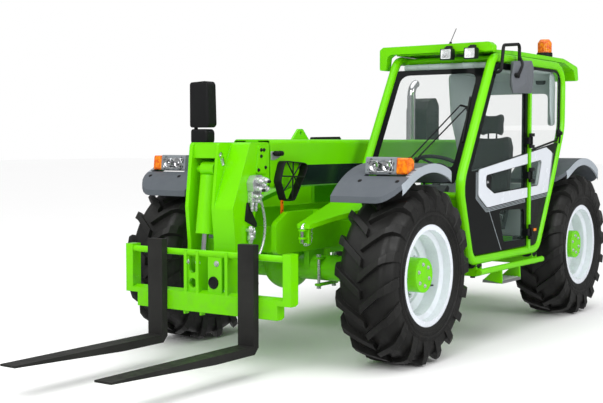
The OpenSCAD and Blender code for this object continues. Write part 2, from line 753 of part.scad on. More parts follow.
module steering_wheel() {
  color(black) translate(wheel_c) rotate([0, wheel_tilt, 0]) difference() {
    union() {
      rotate_extrude() translate([180, 0]) circle(r = 14);
      for (a = [90, 210, 330]) rotate([0, 90, a]) cylinder(h = 180, r = 9);
      translate([0, 0, -14]) cylinder(h = 30, r = 44);
    }
    translate([0, 0, -20]) cylinder(h = 28.5, r = column_r + pin_gap);
  }
}

// Mirrors on the right mudguard, on a post.
mirror_x = 300;
module right_mirrors() {
  y0 = -guard_in - 30;
  color(black) {
    difference() {
      block([mirror_x - 25, -guard_in - 50, lamp_z - 80], [mirror_x + 25, -guard_in - 4, lamp_z + 10]);
      translate([0, 0, guard_z]) rotate([90, 0, 0])
        cylinder(h = 3000, r = guard_r + guard_t + 0.2, center = true, $fn = 180);
    }
    translate([mirror_x, -guard_in - 27, lamp_z]) cylinder(h = 530, r = 13);
    yz_plate(mirror_x - 20, mirror_x + 50) polygon(rounded_loop([[y0, lamp_z + 138], [y0, lamp_z + 238],
      [y0 + 150, lamp_z + 238], [y0 + 150, lamp_z + 138]], [20, 20, 30, 30]));
    yz_plate(mirror_x - 20, mirror_x + 60) polygon(rounded_loop([[y0, lamp_z + 248], [y0, lamp_z + 555],
      [y0 + 160, lamp_z + 563], [y0 + 170, lamp_z + 248]], [20, 20, 30, 30]));
  }
}

// Mirror on an arm that swings with the door, folded to the cab's side.
module door_mirror() {
  y = cab_left + 30;
  color(black) {
    swept_bar(rounded_line([[cab_x(-1018), left_y + door_out + 0.3, roof_z - 156],
      [cab_x(-1018), y, roof_z - 156],
      [cab_x(-1060), y, roof_z + 34], [cab_x(-1330), y, roof_z + 59],
        [cab_x(-1330), y, roof_z - 90]], 26, 4),
      12, unit([0.3, 0.5, 0.2]), 10);
    xz_plate(cab_left + 12, cab_left + 43) polygon(rounded_loop([[cab_x(-1230), roof_z - 68],
      [cab_x(-1205), roof_z - 240],
      [cab_x(-1240), roof_z - 278], [cab_x(-1440), roof_z - 278], [cab_x(-1480), roof_z - 240],
        [cab_x(-1470), roof_z - 90],
      [cab_x(-1430), roof_z - 64]], [24, 30, 24, 24, 30, 24, 20]));
  }
}

module work_lamps() {
  color(pale) for (y = [left_y - 291, left_y - 106]) {
    xz_plate(y - 45, y + 45) polygon(rounded_loop([[cab_x(-918), roof_z - 66], [cab_x(-918), roof_z + 10],
      [cab_x(-868), roof_z + 14], [cab_x(-862), roof_z - 66]], [20, 14, 8, 8]));
    xz_plate(y - 16, y + 16) polygon([[cab_x(-939.7), roof_z + 6], [cab_x(-939.7), roof_z + 34],
      [cab_x(-900), roof_z + 34],
      [cab_x(-884), roof_z], [cab_x(-910), roof_z]]);
  }
}

// Air cleaner with a raked cap and cooling grooves.
module air_cleaner() {
  x0 = rear_x - 190;
  y0 = -guard_in + 20;
  color(black) difference() {
    xz_plate(y0, y0 + 200) polygon(rounded_loop([[x0, shelf_z + 0.3], [x0, shelf_z + 560],
      [x0 + 60, shelf_z + 625],
      [x0 + 190, shelf_z + 600], [x0 + 240, shelf_z + 520], [x0 + 240, shelf_z + 0.3]],
        [0, 60, 30, 60, 40, 0]));
    for (i = [0:4]) block([x0 + 40, y0 + 192, shelf_z + 330 + 40 * i],
      [x0 + 200, y0 + 210, shelf_z + 346 + 40 * i]);
  }
}

// Upright exhaust with a bend to the rear.
module exhaust_pipe() {
  bend = 110;
  color(steel) translate([rear_x + 140, -guard_in + 120, shelf_z + 0.3]) {
    cylinder(h = 120, r = 62);
    cylinder(h = 640, r = 38);
    translate([-bend, 0, 639.5]) rotate([90, 0, 0]) rotate_extrude(angle = 75) translate([bend, 0])
      circle(r = 35);
  }
}

module step() {
  color(lime) {
    translate([cab_x(-1850), cab_left + 2, belly_z - 50]) rotate([0, 90, 0])
      cylinder(h = cab_x(-750) - cab_x(-1850), r = 22);
    for (x = [cab_x(-1400), cab_x(-1090)]) yz_plate(x - 6, x + 6) polygon([[cab_left - 20, belly_z - 50],
      [cab_left + 20, belly_z - 50], [cab_left + 26, belly_z - 162], [cab_left - 130, belly_z - 162],
        [cab_left - 120, belly_z - 140]]);
    block([cab_x(-1400), cab_left - 130, belly_z - 162], [cab_x(-1090), cab_left + 26, belly_z - 142]);
  }
}

tow_r = 16;
module tow_jaws() {
  color(black) difference() {
    union() {
      block([tail_x + 90, boom_y - 60, 545], [tail_x + 109.7, boom_y + 60, 695]);
      for (z = [560, 655]) block([tail_x + 6, boom_y - 50, z], [tail_x + 100, boom_y + 50, z + 25]);
    }
    translate([tail_x + 46, boom_y, 500]) cylinder(h = 300, r = tow_r);
  }
}

// Boom

module boom_tube(x0, x1, w, h) {
  translate([x0, boom_y, boom_z]) rotate([90, 0, 90]) difference() {
    linear_extrude(x1 - x0) polygon(rounded_loop([[-w / 2, -h / 2], [-w / 2, h / 2], [w / 2, h / 2],
      [w / 2, -h / 2]],
      [30, 30, 30, 30]));
    translate([0, 0, -1]) linear_extrude(x1 - x0 + 2) square([w - 2 * boom_wall, h - 2 * boom_wall],
      center = true);
  }
}

// Four wear pads at x0 to x1, filling the play between the two boom sections.
module wear_pads(x0, x1, inner) {
  g = 0.05;
  lo = inner ? -1 : g;
  hi = inner ? boom_play - g : boom_play + 1;
  for (s = [1, -1]) {
    block([x0, boom_y + min(s * (in_w / 2 + lo), s * (in_w / 2 + hi)), boom_z - 50],
      [x1, boom_y + max(s * (in_w / 2 + lo), s * (in_w / 2 + hi)), boom_z + 50]);
    block([x0, boom_y - 50, boom_z + min(s * (in_h / 2 + lo), s * (in_h / 2 + hi))],
      [x1, boom_y + 50, boom_z + max(s * (in_h / 2 + lo), s * (in_h / 2 + hi))]);
  }
}

lift_eye = [pivot_x + 1850, boom_bot - 60];
sling_x = -150;
sling_r = 13;
module boom_outer() {
  color(lime) difference() {
    union() {
      boom_tube(pivot_x - 90, boom_front, boom_w, boom_h);
      wear_pads(boom_front - 120, boom_front, false);
      for (s = [1, -1]) y_bar(pivot_x, boom_z, boom_y + (s > 0 ? boom_w / 2 - 9 : -rail_gap / 2 + 4),
        boom_y + (s > 0 ? rail_gap / 2 - 4 : -boom_w / 2 + 9), pivot_r + 32);
      for (s = [1, -1]) xz_plate(boom_y + s * 75 - 12, boom_y + s * 75 + 12) polygon(
        [[lift_eye[0] - 120, boom_bot + 4], [lift_eye[0] - 50, lift_eye[1] - 50],
         [lift_eye[0] + 50, lift_eye[1] - 50], [lift_eye[0] + 120, boom_bot + 4]]);
      xz_plate(boom_y - 9, boom_y + 9) polygon(rounded_loop([[sling_x - 100, boom_top - 2],
        [sling_x - 24, boom_top + 72],
        [sling_x + 24, boom_top + 72], [sling_x + 100, boom_top - 2]], [0, 20, 20, 0]));
    }
    y_bar(pivot_x, boom_z, boom_y - 300, boom_y + 300, pivot_r + pin_gap);
    y_bar(sling_x, boom_top + 42, boom_y - 30, boom_y + 30, sling_r);
  }
}

head_x = boom_front + 20;
module boom_inner() {
  color(lime) {
    boom_tube(pivot_x + 350, head_x, in_w, in_h);
    wear_pads(pivot_x + 350, pivot_x + 450, true);
  }
}

// Boom head: a thin plate on the right, a wide leg on the left and the tilt cylinder between them.
head_r = boom_y - 230;
leg_r = boom_y - 15;
leg_l = boom_y + 156;
head_front = 800;
tilt_top = [tilt_x - 35, tilt_z + 695];
tilt_eye = [tilt_x + 50, tilt_z + 95];
cyl_y = (head_r + 28 + leg_r) / 2 + 3;

// Side outline of the head's plates, with the front edge starting at top_x.
module head_outline(top_x) {
  polygon(rounded_loop([[head_x + 0.3, boom_z - 125], [head_x + 0.3, boom_top - 20], [top_x, boom_top - 20],
    [head_front, 1000], [head_front - 24, 770], [tilt_x + 60, tilt_z + 40], [tilt_x + 40, tilt_z - 66],
    [tilt_x - 40, tilt_z - 66], [tilt_x - 75, tilt_z + 40], [560, 1000]],
      [0, 20, 30, 60, 60, 60, 34, 34, 60, 120]));
}

// Slotted hole of width w between two points.
module slot_hole(a, b, w) {
  along_slot = unit(b - a) * w / 2;
  across = [-along_slot[1], along_slot[0]];
  polygon(rounded_loop([a - along_slot - across, a - along_slot + across, b + along_slot + across,
    b + along_slot - across], [for (i = [0:3]) 0.49 * w]));
}

module boom_head() {
  color(lime) difference() {
    union() {
      xz_plate(head_r, head_r + 28) head_outline(head_front - 50);
      xz_plate(leg_r, leg_r + 22) head_outline(head_front - 50);
      xz_plate(leg_r, leg_l) head_outline(head_front - 180);
      block([head_x + 0.3, head_r + 1, boom_z - 120], [head_x + 50, leg_r + 1, boom_top - 21]);
      block([head_x + 60, head_r + 1, boom_top - 40], [head_front - 60, leg_r + 1, boom_top - 21]);
      block([head_front - 76, head_r + 1, boom_top - 120], [head_front - 58, leg_r + 1, boom_top - 30]);
      xz_plate(leg_l - 1, leg_l + 10) polygon(rounded_loop([[head_x + 40, boom_z - 60],
        [head_x + 40, boom_top - 40],
        [head_x + 120, boom_top - 40], [head_x + 150, boom_z - 60]], [15, 15, 15, 15]));
      y_bar(tilt_top[0], tilt_top[1], head_r + 2, leg_r + 2, 24);
    }
    y_bar(tilt_x, tilt_z, head_r - 20, leg_l + 20, tilt_r + pin_gap);
    xz_plate(leg_r - 8, leg_r + 30)
      slot_hole([head_front - 95, boom_top - 152], [head_front - 72, boom_top - 100], 38);
  }
}

module coupler_block() {
  color(steel) xz_plate(leg_l + 0.3, leg_l + 50) polygon(rounded_loop([[head_x + 130, 1100],
    [head_x + 120, 1180],
    [head_x + 150, 1205], [head_x + 210, 1200], [head_x + 240, 1160], [head_x + 230, 1100]],
      [10, 16, 16, 16, 16, 10]));
}

// Fork carriage

ear_r = cyl_y - 36;
ear_l = cyl_y + 36;
bar_x = fork_back - 26;
beam_z = 352;
module ear_outline() {
  polygon(rounded_loop([[tilt_x - 48, tilt_z + 20], [tilt_x - 20, tilt_z + 90], [bar_x, tilt_z + 190],
    [fork_back - 0.3, tilt_z + 190],
    [fork_back - 0.3, beam_z + 60], [fork_back - 50, beam_z + 60], [tilt_x - 48, tilt_z - 30]],
      [30, 30, 15, 0, 0, 20, 40]));
}

// Section of the lower beam, with its underside at z.
module beam_outline(z) {
  polygon([[fork_back - 74, z + 12], [fork_back - 74, beam_z + 110], [fork_back - 40, beam_z + 136],
    [fork_back - 0.3, beam_z + 120], [fork_back - 0.3, z], [fork_back - 50, z]]);
}

module carriage() {
  half = carriage_w / 2;
  color(lime) {
    y_bar(tilt_x, tilt_z, head_r - 8, leg_l + 32, tilt_r);
    for (y = [ear_r - 24, ear_l, leg_l + 5]) xz_plate(y, y + 24) ear_outline();
    xz_plate(boom_y - half + 100, boom_y + half - 100) beam_outline(beam_z);
    for (s = [1, -1]) xz_plate(boom_y + s * (half - 50) - 50, boom_y + s * (half - 50) + 50)
      beam_outline(beam_z + 88);
    y_bar(bar_x, 720, boom_y - half, boom_y + half, 21);
    yz_plate(fork_back - 40, fork_back - 16) difference() {
      polygon([[ear_r - 24, beam_z + 100], [ear_r - 24, 705], [ear_l + 24, 705],
        [ear_l + 24, beam_z + 100]]);
      slot_hole([cyl_y, 620], [cyl_y, 720], 56);
      translate([cyl_y, beam_z + 178]) circle(r = 30);
    }
    for (y = [ear_r - 40, ear_l + 20]) yz_plate(fork_back - 50, fork_back - 10)
      polygon([[y, beam_z + 1], [y + 5, beam_z - 22], [y + 15, beam_z - 22], [y + 20, beam_z + 1]]);
    for (s = [1, -1]) block([fork_back - 76, boom_y + s * (half - 30) - 30, beam_z + 100],
      [fork_back - 0.3, boom_y + s * (half - 30) + 30, 752]);
  }
}

module forks() {
  color(black) for (s = [1, -1]) xz_plate(boom_y + s * fork_spread / 2 - fork_w / 2,
    boom_y + s * fork_spread / 2 + fork_w / 2)
    polygon([[fork_back, fork_z + 40], [fork_back + 40, fork_z], [fork_back + 400, fork_z],
      [fork_tip, fork_z + fork_t - 12],
      [fork_tip, fork_z + fork_t], [fork_back + fork_t, fork_z + fork_t], [fork_back + fork_t, 800],
        [fork_back, 800]]);
}

// Cylinders

// Moves a cylinder drawn along +X onto the line from a to b, both given as [x, z], at y.
module along(a, b, y) {
  translate([a[0], y, a[1]]) rotate([0, -atan2(b[1] - a[1], b[0] - a[0]), 0]) children();
}

// Barrel with its eye at the start and a gland at the end, bored for the rod.
module barrel(length, r, rod_r, eye_r, eye_w, pin_r) {
  difference() {
    union() {
      y_bar(0, 0, -eye_w / 2, eye_w / 2, eye_r);
      translate([eye_r - 8, 0, 0]) rotate([0, 90, 0]) cylinder(h = length - eye_r + 8, r = r);
    }
    y_bar(0, 0, -200, 200, pin_r + pin_gap);
    translate([pin_r + 60, 0, 0]) rotate([0, 90, 0]) cylinder(h = length, r = rod_r + pin_gap);
  }
}

// Rod that starts inside the barrel and ends in an eye at length.
module piston_rod(start, length, rod_r, eye_r, eye_w, hole_r) {
  difference() {
    union() {
      translate([start, 0, 0]) rotate([0, 90, 0]) cylinder(h = length - start, r = rod_r);
      y_bar(length, 0, -eye_w / 2, eye_w / 2, eye_r);
    }
    y_bar(length, 0, -200, 200, hole_r);
  }
}

tilt_len = norm(tilt_eye - tilt_top);
lift_pin = [lift_pin_x, lift_pin_z];
lift_len = norm(lift_eye - lift_pin);

module tilt_barrel() {
  color(lime) along(tilt_top, tilt_eye, cyl_y) barrel(tilt_len - 190, 65, 22, 50, 110, 24);
}

module tilt_rod() {
  color(steel) along(tilt_top, tilt_eye, cyl_y) piston_rod(150, tilt_len, 22, 32, 50, 18);
}

module lift_barrel() {
  color(lime_dark) along(lift_pin, lift_eye, boom_y) barrel(lift_len - 170, 62, 34, 60, 110, lift_pin_r);
}

module lift_rod() {
  color(steel) along(lift_pin, lift_eye, boom_y) piston_rod(200, lift_len, 34, 46, 80, 26);
}

// Door

door_in = -10;
door_out = 18;
hinge = [post_x + 22, cab_left + 14];
hinge_z = [cab_z(740), cab_z(1165), cab_z(1421)];
hinge_r = 8;

module door_outline(d) {
  intersection() {
    side_outline(cab_tube_r + door_gap + d);
    translate([post_x + 18 + door_gap + d, 0]) square([3000, 3000]);
  }
}

function waist_line(lift) = [cab_at(-3000, 1508 + lift), cab_at(-700, 1214 + lift)];

module above_waist(lift) {
  w = waist_line(lift);
  polygon([w[0], w[1], [w[1][0] + 400, w[1][1]], [w[1][0] + 400, 4000], [w[0][0], 4000]]);
}

module door_panel() {
  color(black) {
    xz_plate(left_y + door_in, left_y + door_out) difference() {
      door_outline(0);
      intersection() { door_outline(45); above_waist(0); }
      door_pane(0);
      foot_pane(0);
    }
    for (z = hinge_z) difference() {
      union() {
        translate([hinge[0], hinge[1], z - 30]) cylinder(h = 60, r = 14);
        block([hinge[0], left_y + door_out - 1, z - 26], [hinge[0] + 60, hinge[1] + 6, z + 26]);
      }
      translate([hinge[0], hinge[1], z - 31]) cylinder(h = 62, r = hinge_r + pin_gap);
    }
  }
}

// Lower windows of the door, made smaller by d: one inside the pale band and one at the foot.
module door_pane(d) {
  intersection() {
    offset_band(d);
    ahead_of_post(50 + d);
  }
}

module foot_pane(d) {
  polygon(rounded_loop(inset_corners([cab_at(-1100, 925), cab_at(-1190, 690), cab_at(-1545, 690),
    cab_at(-1545, 915)], d),
    [30, 30, 30, 30]));
}

module door_glass() {
  color(clear) xz_plate(left_y, left_y + glass_t) {
    intersection() { door_outline(45.3); above_waist(0.3); }
    door_pane(0.3);
    foot_pane(0.3);
  }
}

module door_trim() {
  color(pale) xz_plate(left_y + door_out + 0.3, left_y + door_out + 7) difference() {
    intersection() {
      band(band_outer, 30);
      ahead_of_post(14);
    }
    offset_band(-4);
    for (z = hinge_z) translate([post_x, z - 32]) square([88, 64]);
  }
}

place() chassis_frame();
place() axle(-1);  // front_axle
place() translate([rear_x, 0, 0]) axle(1);  // rear_axle
place() engine();
place() engine_tray();
place() rear_body();
place() front_decks();
place() front_mudguards();
place() rear_mudguards();
place() headlamps();
place() amber_lamps();
place() cab_frame();
place() cab_panels();
place() cab_cowl();
place() quarter_trim();
place() cab_roof();
place() cab_glass();
place() seat();
place() console();
place() steering_wheel();
place() right_mirrors();
place() work_lamps();
place() air_cleaner();
place() exhaust_pipe();
place() step();
place() tow_jaws();
place() knuckle();  // knuckle_fl
place() mirror([0, 1, 0]) knuckle();  // knuckle_fr
place() translate([rear_x, 0, 0]) knuckle();  // knuckle_rl
place() translate([rear_x, 0, 0]) mirror([0, 1, 0]) knuckle();  // knuckle_rr
place() at_wheel(true, 1) rim();  // rim_fl
place() at_wheel(true, -1) rim();  // rim_fr
place() at_wheel(false, 1) rim();  // rim_rl
place() at_wheel(false, -1) rim();  // rim_rr
place() at_wheel(true, 1) tyre();  // tyre_fl
place() at_wheel(true, -1) tyre();  // tyre_fr
place() at_wheel(false, 1) tyre();  // tyre_rl
place() at_wheel(false, -1) tyre();  // tyre_rr
place() boom_outer();
place() boom_inner();
place() boom_head();
place() coupler_block();
place() carriage();
place() forks();
place() tilt_barrel();
place() tilt_rod();
place() lift_barrel();
place() lift_rod();
place() door_panel();
place() door_trim();
place() door_glass();
place() door_mirror();
place() engine_hood();
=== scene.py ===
import math
import bpy
from mathutils import Matrix, Vector


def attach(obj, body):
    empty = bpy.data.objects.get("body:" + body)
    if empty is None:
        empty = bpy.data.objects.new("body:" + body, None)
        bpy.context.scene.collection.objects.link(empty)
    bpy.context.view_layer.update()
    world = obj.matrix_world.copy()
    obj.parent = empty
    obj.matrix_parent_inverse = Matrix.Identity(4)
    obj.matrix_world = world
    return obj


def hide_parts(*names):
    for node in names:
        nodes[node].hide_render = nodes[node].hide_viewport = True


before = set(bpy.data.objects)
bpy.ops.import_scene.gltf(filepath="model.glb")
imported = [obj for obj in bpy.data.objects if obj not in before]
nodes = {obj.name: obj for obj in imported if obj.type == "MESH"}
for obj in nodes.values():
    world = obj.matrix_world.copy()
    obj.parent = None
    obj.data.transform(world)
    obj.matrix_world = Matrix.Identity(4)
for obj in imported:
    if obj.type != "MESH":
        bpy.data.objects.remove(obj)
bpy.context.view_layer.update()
scene = bpy.context.scene
axleX = 0.544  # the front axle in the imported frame
print("stage: frame loaded,", len(nodes), "nodes")


def spot(x, y, z):  # millimetres from the front axle's ground point to metres in the frame
    return Vector((x / 1000 + axleX, y / 1000, z / 1000))


def feed(node, socket, value):  # a link from another socket, or a plain value
    if hasattr(value, "links"):
        node.id_data.links.new(value, node.inputs[socket])
    else:
        node.inputs[socket].default_value = value


# camera at the picture's angle, floor and soft light

view = {"place": (6.743, 4.3503, 1.4193), "yaw": 0.6056, "down": 0.0544, "lens": 66.45}
camData = bpy.data.cameras.new("pictureCamera")
camData.lens = view["lens"]
camData.sensor_width = 36
camData.clip_end = 200
camera = bpy.data.objects.new("pictureCamera", camData)
scene.collection.objects.link(camera)
lookAlong = Vector((-math.cos(view["yaw"]) * math.cos(view["down"]),
                    -math.sin(view["yaw"]) * math.cos(view["down"]), -math.sin(view["down"])))
camera.location = view["place"]
camera.rotation_euler = lookAlong.to_track_quat("-Z", "Y").to_euler()
scene.camera = camera
scene.view_settings.view_transform = "Standard"

studio = {"sky": (1.0, 1.0, 1.0), "skyPower": 1.0, "fillPower": 0.5, "glossPower": 0.3, "topPower": 1.75,
          "topSpread": 80, "floor": (0.97, 0.97, 0.97), "floorSize": 120}
skyRays = {"Is Diffuse Ray": "fillPower", "Is Glossy Ray": "glossPower", "Is Transmission Ray": "skyPower"}
world = bpy.data.worlds.new("studioSky")
scene.world = world
world.use_nodes = True
skyTree = world.node_tree
backdrop = skyTree.nodes["Background"]
feed(backdrop, "Color", (*studio["sky"], 1))
rayKind = skyTree.nodes.new("ShaderNodeLightPath")  # the white sky is dimmer as a light and in reflections
skyLevel = None
for ray, power in skyRays.items():
    blend = skyTree.nodes.new("ShaderNodeMapRange")
    feed(blend, "To Min", studio["skyPower"])
    feed(blend, "To Max", studio[power])
    feed(blend, "Value", rayKind.outputs[ray])
    if skyLevel:
        feed(blend, "To Min", skyLevel)
    skyLevel = blend.outputs["Result"]
feed(backdrop, "Strength", skyLevel)

areaLights = [  # name, place, aimed at, size, power
    ("keyLight", (8.5, 1.0, 6.0), (0.6, 0.0, 0.9), 6.0, 430),
    ("sideLight", (1.0, 8.5, 4.5), (-0.3, 0.5, 1.0), 5.0, 300)]
for name, place, aim, size, power in areaLights:
    lampData = bpy.data.lights.new(name, "AREA")
    lampData.shape = "SQUARE"
    lampData.size = size
    lampData.energy = power
    light = bpy.data.objects.new(name, lampData)
    scene.collection.objects.link(light)
    light.location = place
    light.rotation_euler = (Vector(aim) - Vector(place)).to_track_quat("-Z", "Y").to_euler()

topData = bpy.data.lights.new("topLight", "SUN")  # even light over the whole floor
topData.energy = studio["topPower"]
topData.angle = math.radians(studio["topSpread"])
scene.collection.objects.link(bpy.data.objects.new("topLight", topData))

bpy.ops.object.select_all(action="DESELECT")
bpy.ops.mesh.primitive_plane_add(size=studio["floorSize"], location=(0, 0, 0))
floor = bpy.context.object
floor.name = "studioFloor"
floor.visible_glossy = False  # glossy paint reflects the sky, not the white floor
print("stage: camera, floor and light")


# materials, all on Object coordinates

def startMaterial(name):
    mat = bpy.data.materials.new(name)
    mat.use_nodes = True
    where = mat.node_tree.nodes.new("ShaderNodeTexCoord")
    return mat, mat.node_tree.nodes["Principled BSDF"], where.outputs["Object"]


def addNode(beside, kind):  # a new node in the tree of a socket or node
    return beside.id_data.nodes.new("ShaderNode" + kind)


def addNoise(coords, scale, detail=4.0, rough=0.55):
    noise = addNode(coords, "TexNoise")
    feed(noise, "Scale", scale)
    feed(noise, "Detail", detail)
    feed(noise, "Roughness", rough)
    feed(noise, "Vector", coords)
    return noise.outputs["Fac"]


def addRamp(value, stops):  # stops of (place, colour or grey)
    ramp = addNode(value, "ValToRGB")
    points = ramp.color_ramp.elements
    while len(points) < len(stops):
        points.new(0.5)
    for point, (place, tone) in zip(points, stops):
        point.position = place
        point.color = (*tone, 1) if hasattr(tone, "__len__") else (tone, tone, tone, 1)
    feed(ramp, "Fac", value)
    return ramp.outputs["Color"]


def addBump(shader, height, strength, distance, edge=0.0):
    bump = addNode(shader, "Bump")
    feed(bump, "Strength", strength)
    feed(bump, "Distance", distance)
    feed(bump, "Height", height)
    if edge:  # softens the CAD part's sharp edges in the light
        bevel = addNode(shader, "Bevel")
        bevel.samples = 4
        feed(bevel, "Radius", edge)
        feed(bump, "Normal", bevel.outputs["Normal"])
    feed(shader, "Normal", bump.outputs["Normal"])


def mixTones(factor, first, second):
    mix = addNode(factor, "Mix")
    mix.data_type = "RGBA"
    feed(mix, "Factor", factor)
    for socket, tone in ((6, first), (7, second)):
        feed(mix, socket, (*tone, 1) if hasattr(tone, "__len__") else tone)
    return mix.outputs[2]


def heightShade(coords, low, high):  # 1 near the ground, 0 above
    split = addNode(coords, "SeparateXYZ")
    feed(split, "Vector", coords)
    fade = addNode(coords, "MapRange")
    feed(fade, "From Min", low)
    feed(fade, "From Max", high)
    feed(fade, "To Min", 1.0)
    feed(fade, "To Max", 0.0)
    feed(fade, "Value", split.outputs["Z"])
    return fade.outputs["Result"]


def multiply(first, second):
    times = addNode(first, "Math")
    times.operation = "MULTIPLY"
    feed(times, 0, first)
    feed(times, 1, second)
    return times.outputs[0]


def glossPaint(name, tone, shade, dust=0.25, rough=0.2, edge=0.006):
    mat, shader, coords = startMaterial(name)
    cloud = addNoise(coords, 2.3, 5)
    paint = mixTones(addRamp(cloud, [(0.3, 0.0), (0.7, 1.0)]), tone, shade)
    grime = multiply(addRamp(addNoise(coords, 14, 8, 0.7), [(0.42, 0.0), (0.72, 1.0)]),
                     multiply(heightShade(coords, 0.25, 0.95), dust))
    feed(shader, "Base Color", mixTones(grime, paint, (0.16, 0.13, 0.09)))
    polish = addNoise(coords, 9, 6, 0.65)
    feed(shader, "Roughness", addRamp(polish, [(0.2, rough * 0.75), (0.8, rough * 1.5)]))
    feed(shader, "Specular IOR Level", 0.2)
    feed(shader, "Coat Weight", 0.12)
    feed(shader, "Coat Roughness", 0.05)
    addBump(shader, addNoise(coords, 420, 2), 0.05, 0.0006, edge)
    return mat


def dryPlastic(name, tone, shade, rough=0.55, grain=900, depth=0.12, edge=0.004, sheen=0.2):
    mat, shader, coords = startMaterial(name)
    cloud = addRamp(addNoise(coords, 3.2, 6, 0.6), [(0.3, 0.0), (0.7, 1.0)])
    feed(shader, "Base Color", mixTones(cloud, tone, shade))
    scuff = addNoise(coords, 22, 6)
    feed(shader, "Roughness", addRamp(scuff, [(0.25, rough * 0.8), (0.75, min(1.0, rough * 1.25))]))
    feed(shader, "Specular IOR Level", sheen)
    addBump(shader, addNoise(coords, grain, 3), depth, 0.0006, edge)
    return mat


def bareMetal(name, tone, rough, streak=(4, 4, 160), depth=0.04, shine=1.0):
    mat, shader, coords = startMaterial(name)
    turn = addNode(coords, "Mapping")
    feed(turn, "Scale", streak)
    feed(turn, "Vector", coords)
    brush = addNoise(turn.outputs["Vector"], 6, 4)
    feed(shader, "Base Color", mixTones(brush, tone, tuple(0.86 * c for c in tone)))
    feed(shader, "Roughness", addRamp(brush, [(0.2, rough * 0.7), (0.8, rough * 1.5)]))
    feed(shader, "Metallic", shine)
    addBump(shader, brush, depth, 0.0004, 0.002)
    return mat


def tyreRubber(name):
    mat, shader, coords = startMaterial(name)
    tone = mixTones(addRamp(addNoise(coords, 5, 6, 0.6), [(0.3, 0.0), (0.75, 1.0)]),
                    (0.006, 0.006, 0.0055), (0.014, 0.014, 0.0125))
    soil = multiply(addRamp(addNoise(coords, 21, 8, 0.7), [(0.58, 0.0), (0.74, 1.0)]),
                    multiply(heightShade(coords, 0.02, 0.5), 0.45))
    feed(shader, "Base Color", mixTones(soil, tone, (0.085, 0.058, 0.034)))
    feed(shader, "Roughness", addRamp(addNoise(coords, 30, 5), [(0.25, 0.36), (0.75, 0.6)]))
    feed(shader, "Specular IOR Level", 0.4)
    addBump(shader, addNoise(coords, 260, 6, 0.65), 0.25, 0.0012, 0.005)
    return mat


def windowGlass(name, tone):
    mat, shader, coords = startMaterial(name)
    pale = tuple(min(1, 1.03 * c) for c in tone)
    feed(shader, "Base Color", mixTones(addNoise(coords, 4, 3), tone, pale))
    feed(shader, "Roughness", addRamp(addNoise(coords, 7, 5), [(0.3, 0.0), (0.9, 0.03)]))
    feed(shader, "Alpha", 0.05)
    feed(shader, "Specular IOR Level", 0.8)
    return mat


def lampLens(name, tone, ribs=150, clear=0.75):
    mat, shader, coords = startMaterial(name)
    depth = addRamp(addNoise(coords, 34, 3), [(0.42, 0.0), (0.6, 1.0)])
    deep = tuple(c * dim for c, dim in zip(tone, (0.8, 0.42, 0.3)))
    feed(shader, "Base Color", mixTones(depth, tone, deep))
    feed(shader, "Roughness", 0.06)
    feed(shader, "Transmission Weight", clear)
    feed(shader, "Coat Weight", 0.3)
    wave = addNode(coords, "TexWave")
    wave.bands_direction = "Y"
    feed(wave, "Scale", ribs)
    feed(wave, "Vector", coords)
    addBump(shader, wave.outputs["Fac"], 0.35, 0.002, 0.003)
    return mat


def lampFace(name, tone, dark, cells, metal):
    mat, shader, coords = startMaterial(name)
    facet = addNode(coords, "TexVoronoi")
    feed(facet, "Scale", cells)
    feed(facet, "Vector", coords)
    shading = addRamp(facet.outputs["Distance"], [(0.15, 0.0), (0.75, 1.0)])
    feed(shader, "Base Color", mixTones(shading, tone, dark))
    feed(shader, "Metallic", metal)
    feed(shader, "Roughness", 0.12)
    feed(shader, "Coat Weight", 1.0)
    addBump(shader, facet.outputs["Distance"], 0.5, 0.004)
    return mat


def wovenCloth(name, tone, shade):
    mat, shader, coords = startMaterial(name)
    weave = addNode(coords, "TexVoronoi")
    feed(weave, "Scale", 380)
    feed(weave, "Vector", coords)
    feed(shader, "Base Color", mixTones(weave.outputs["Distance"], tone, shade))
    feed(shader, "Roughness", 0.92)
    feed(shader, "Sheen Weight", 0.1)
    addBump(shader, weave.outputs["Distance"], 0.4, 0.0015)
    return mat


def paleFloor(name):
    mat, shader, coords = startMaterial(name)
    tone = studio["floor"]
    worn = tuple(0.985 * c for c in tone)
    feed(shader, "Base Color", mixTones(addNoise(coords, 0.8, 4), tone, worn))
    feed(shader, "Roughness", 0.7)
    feed(shader, "Specular IOR Level", 0.2)
    return mat


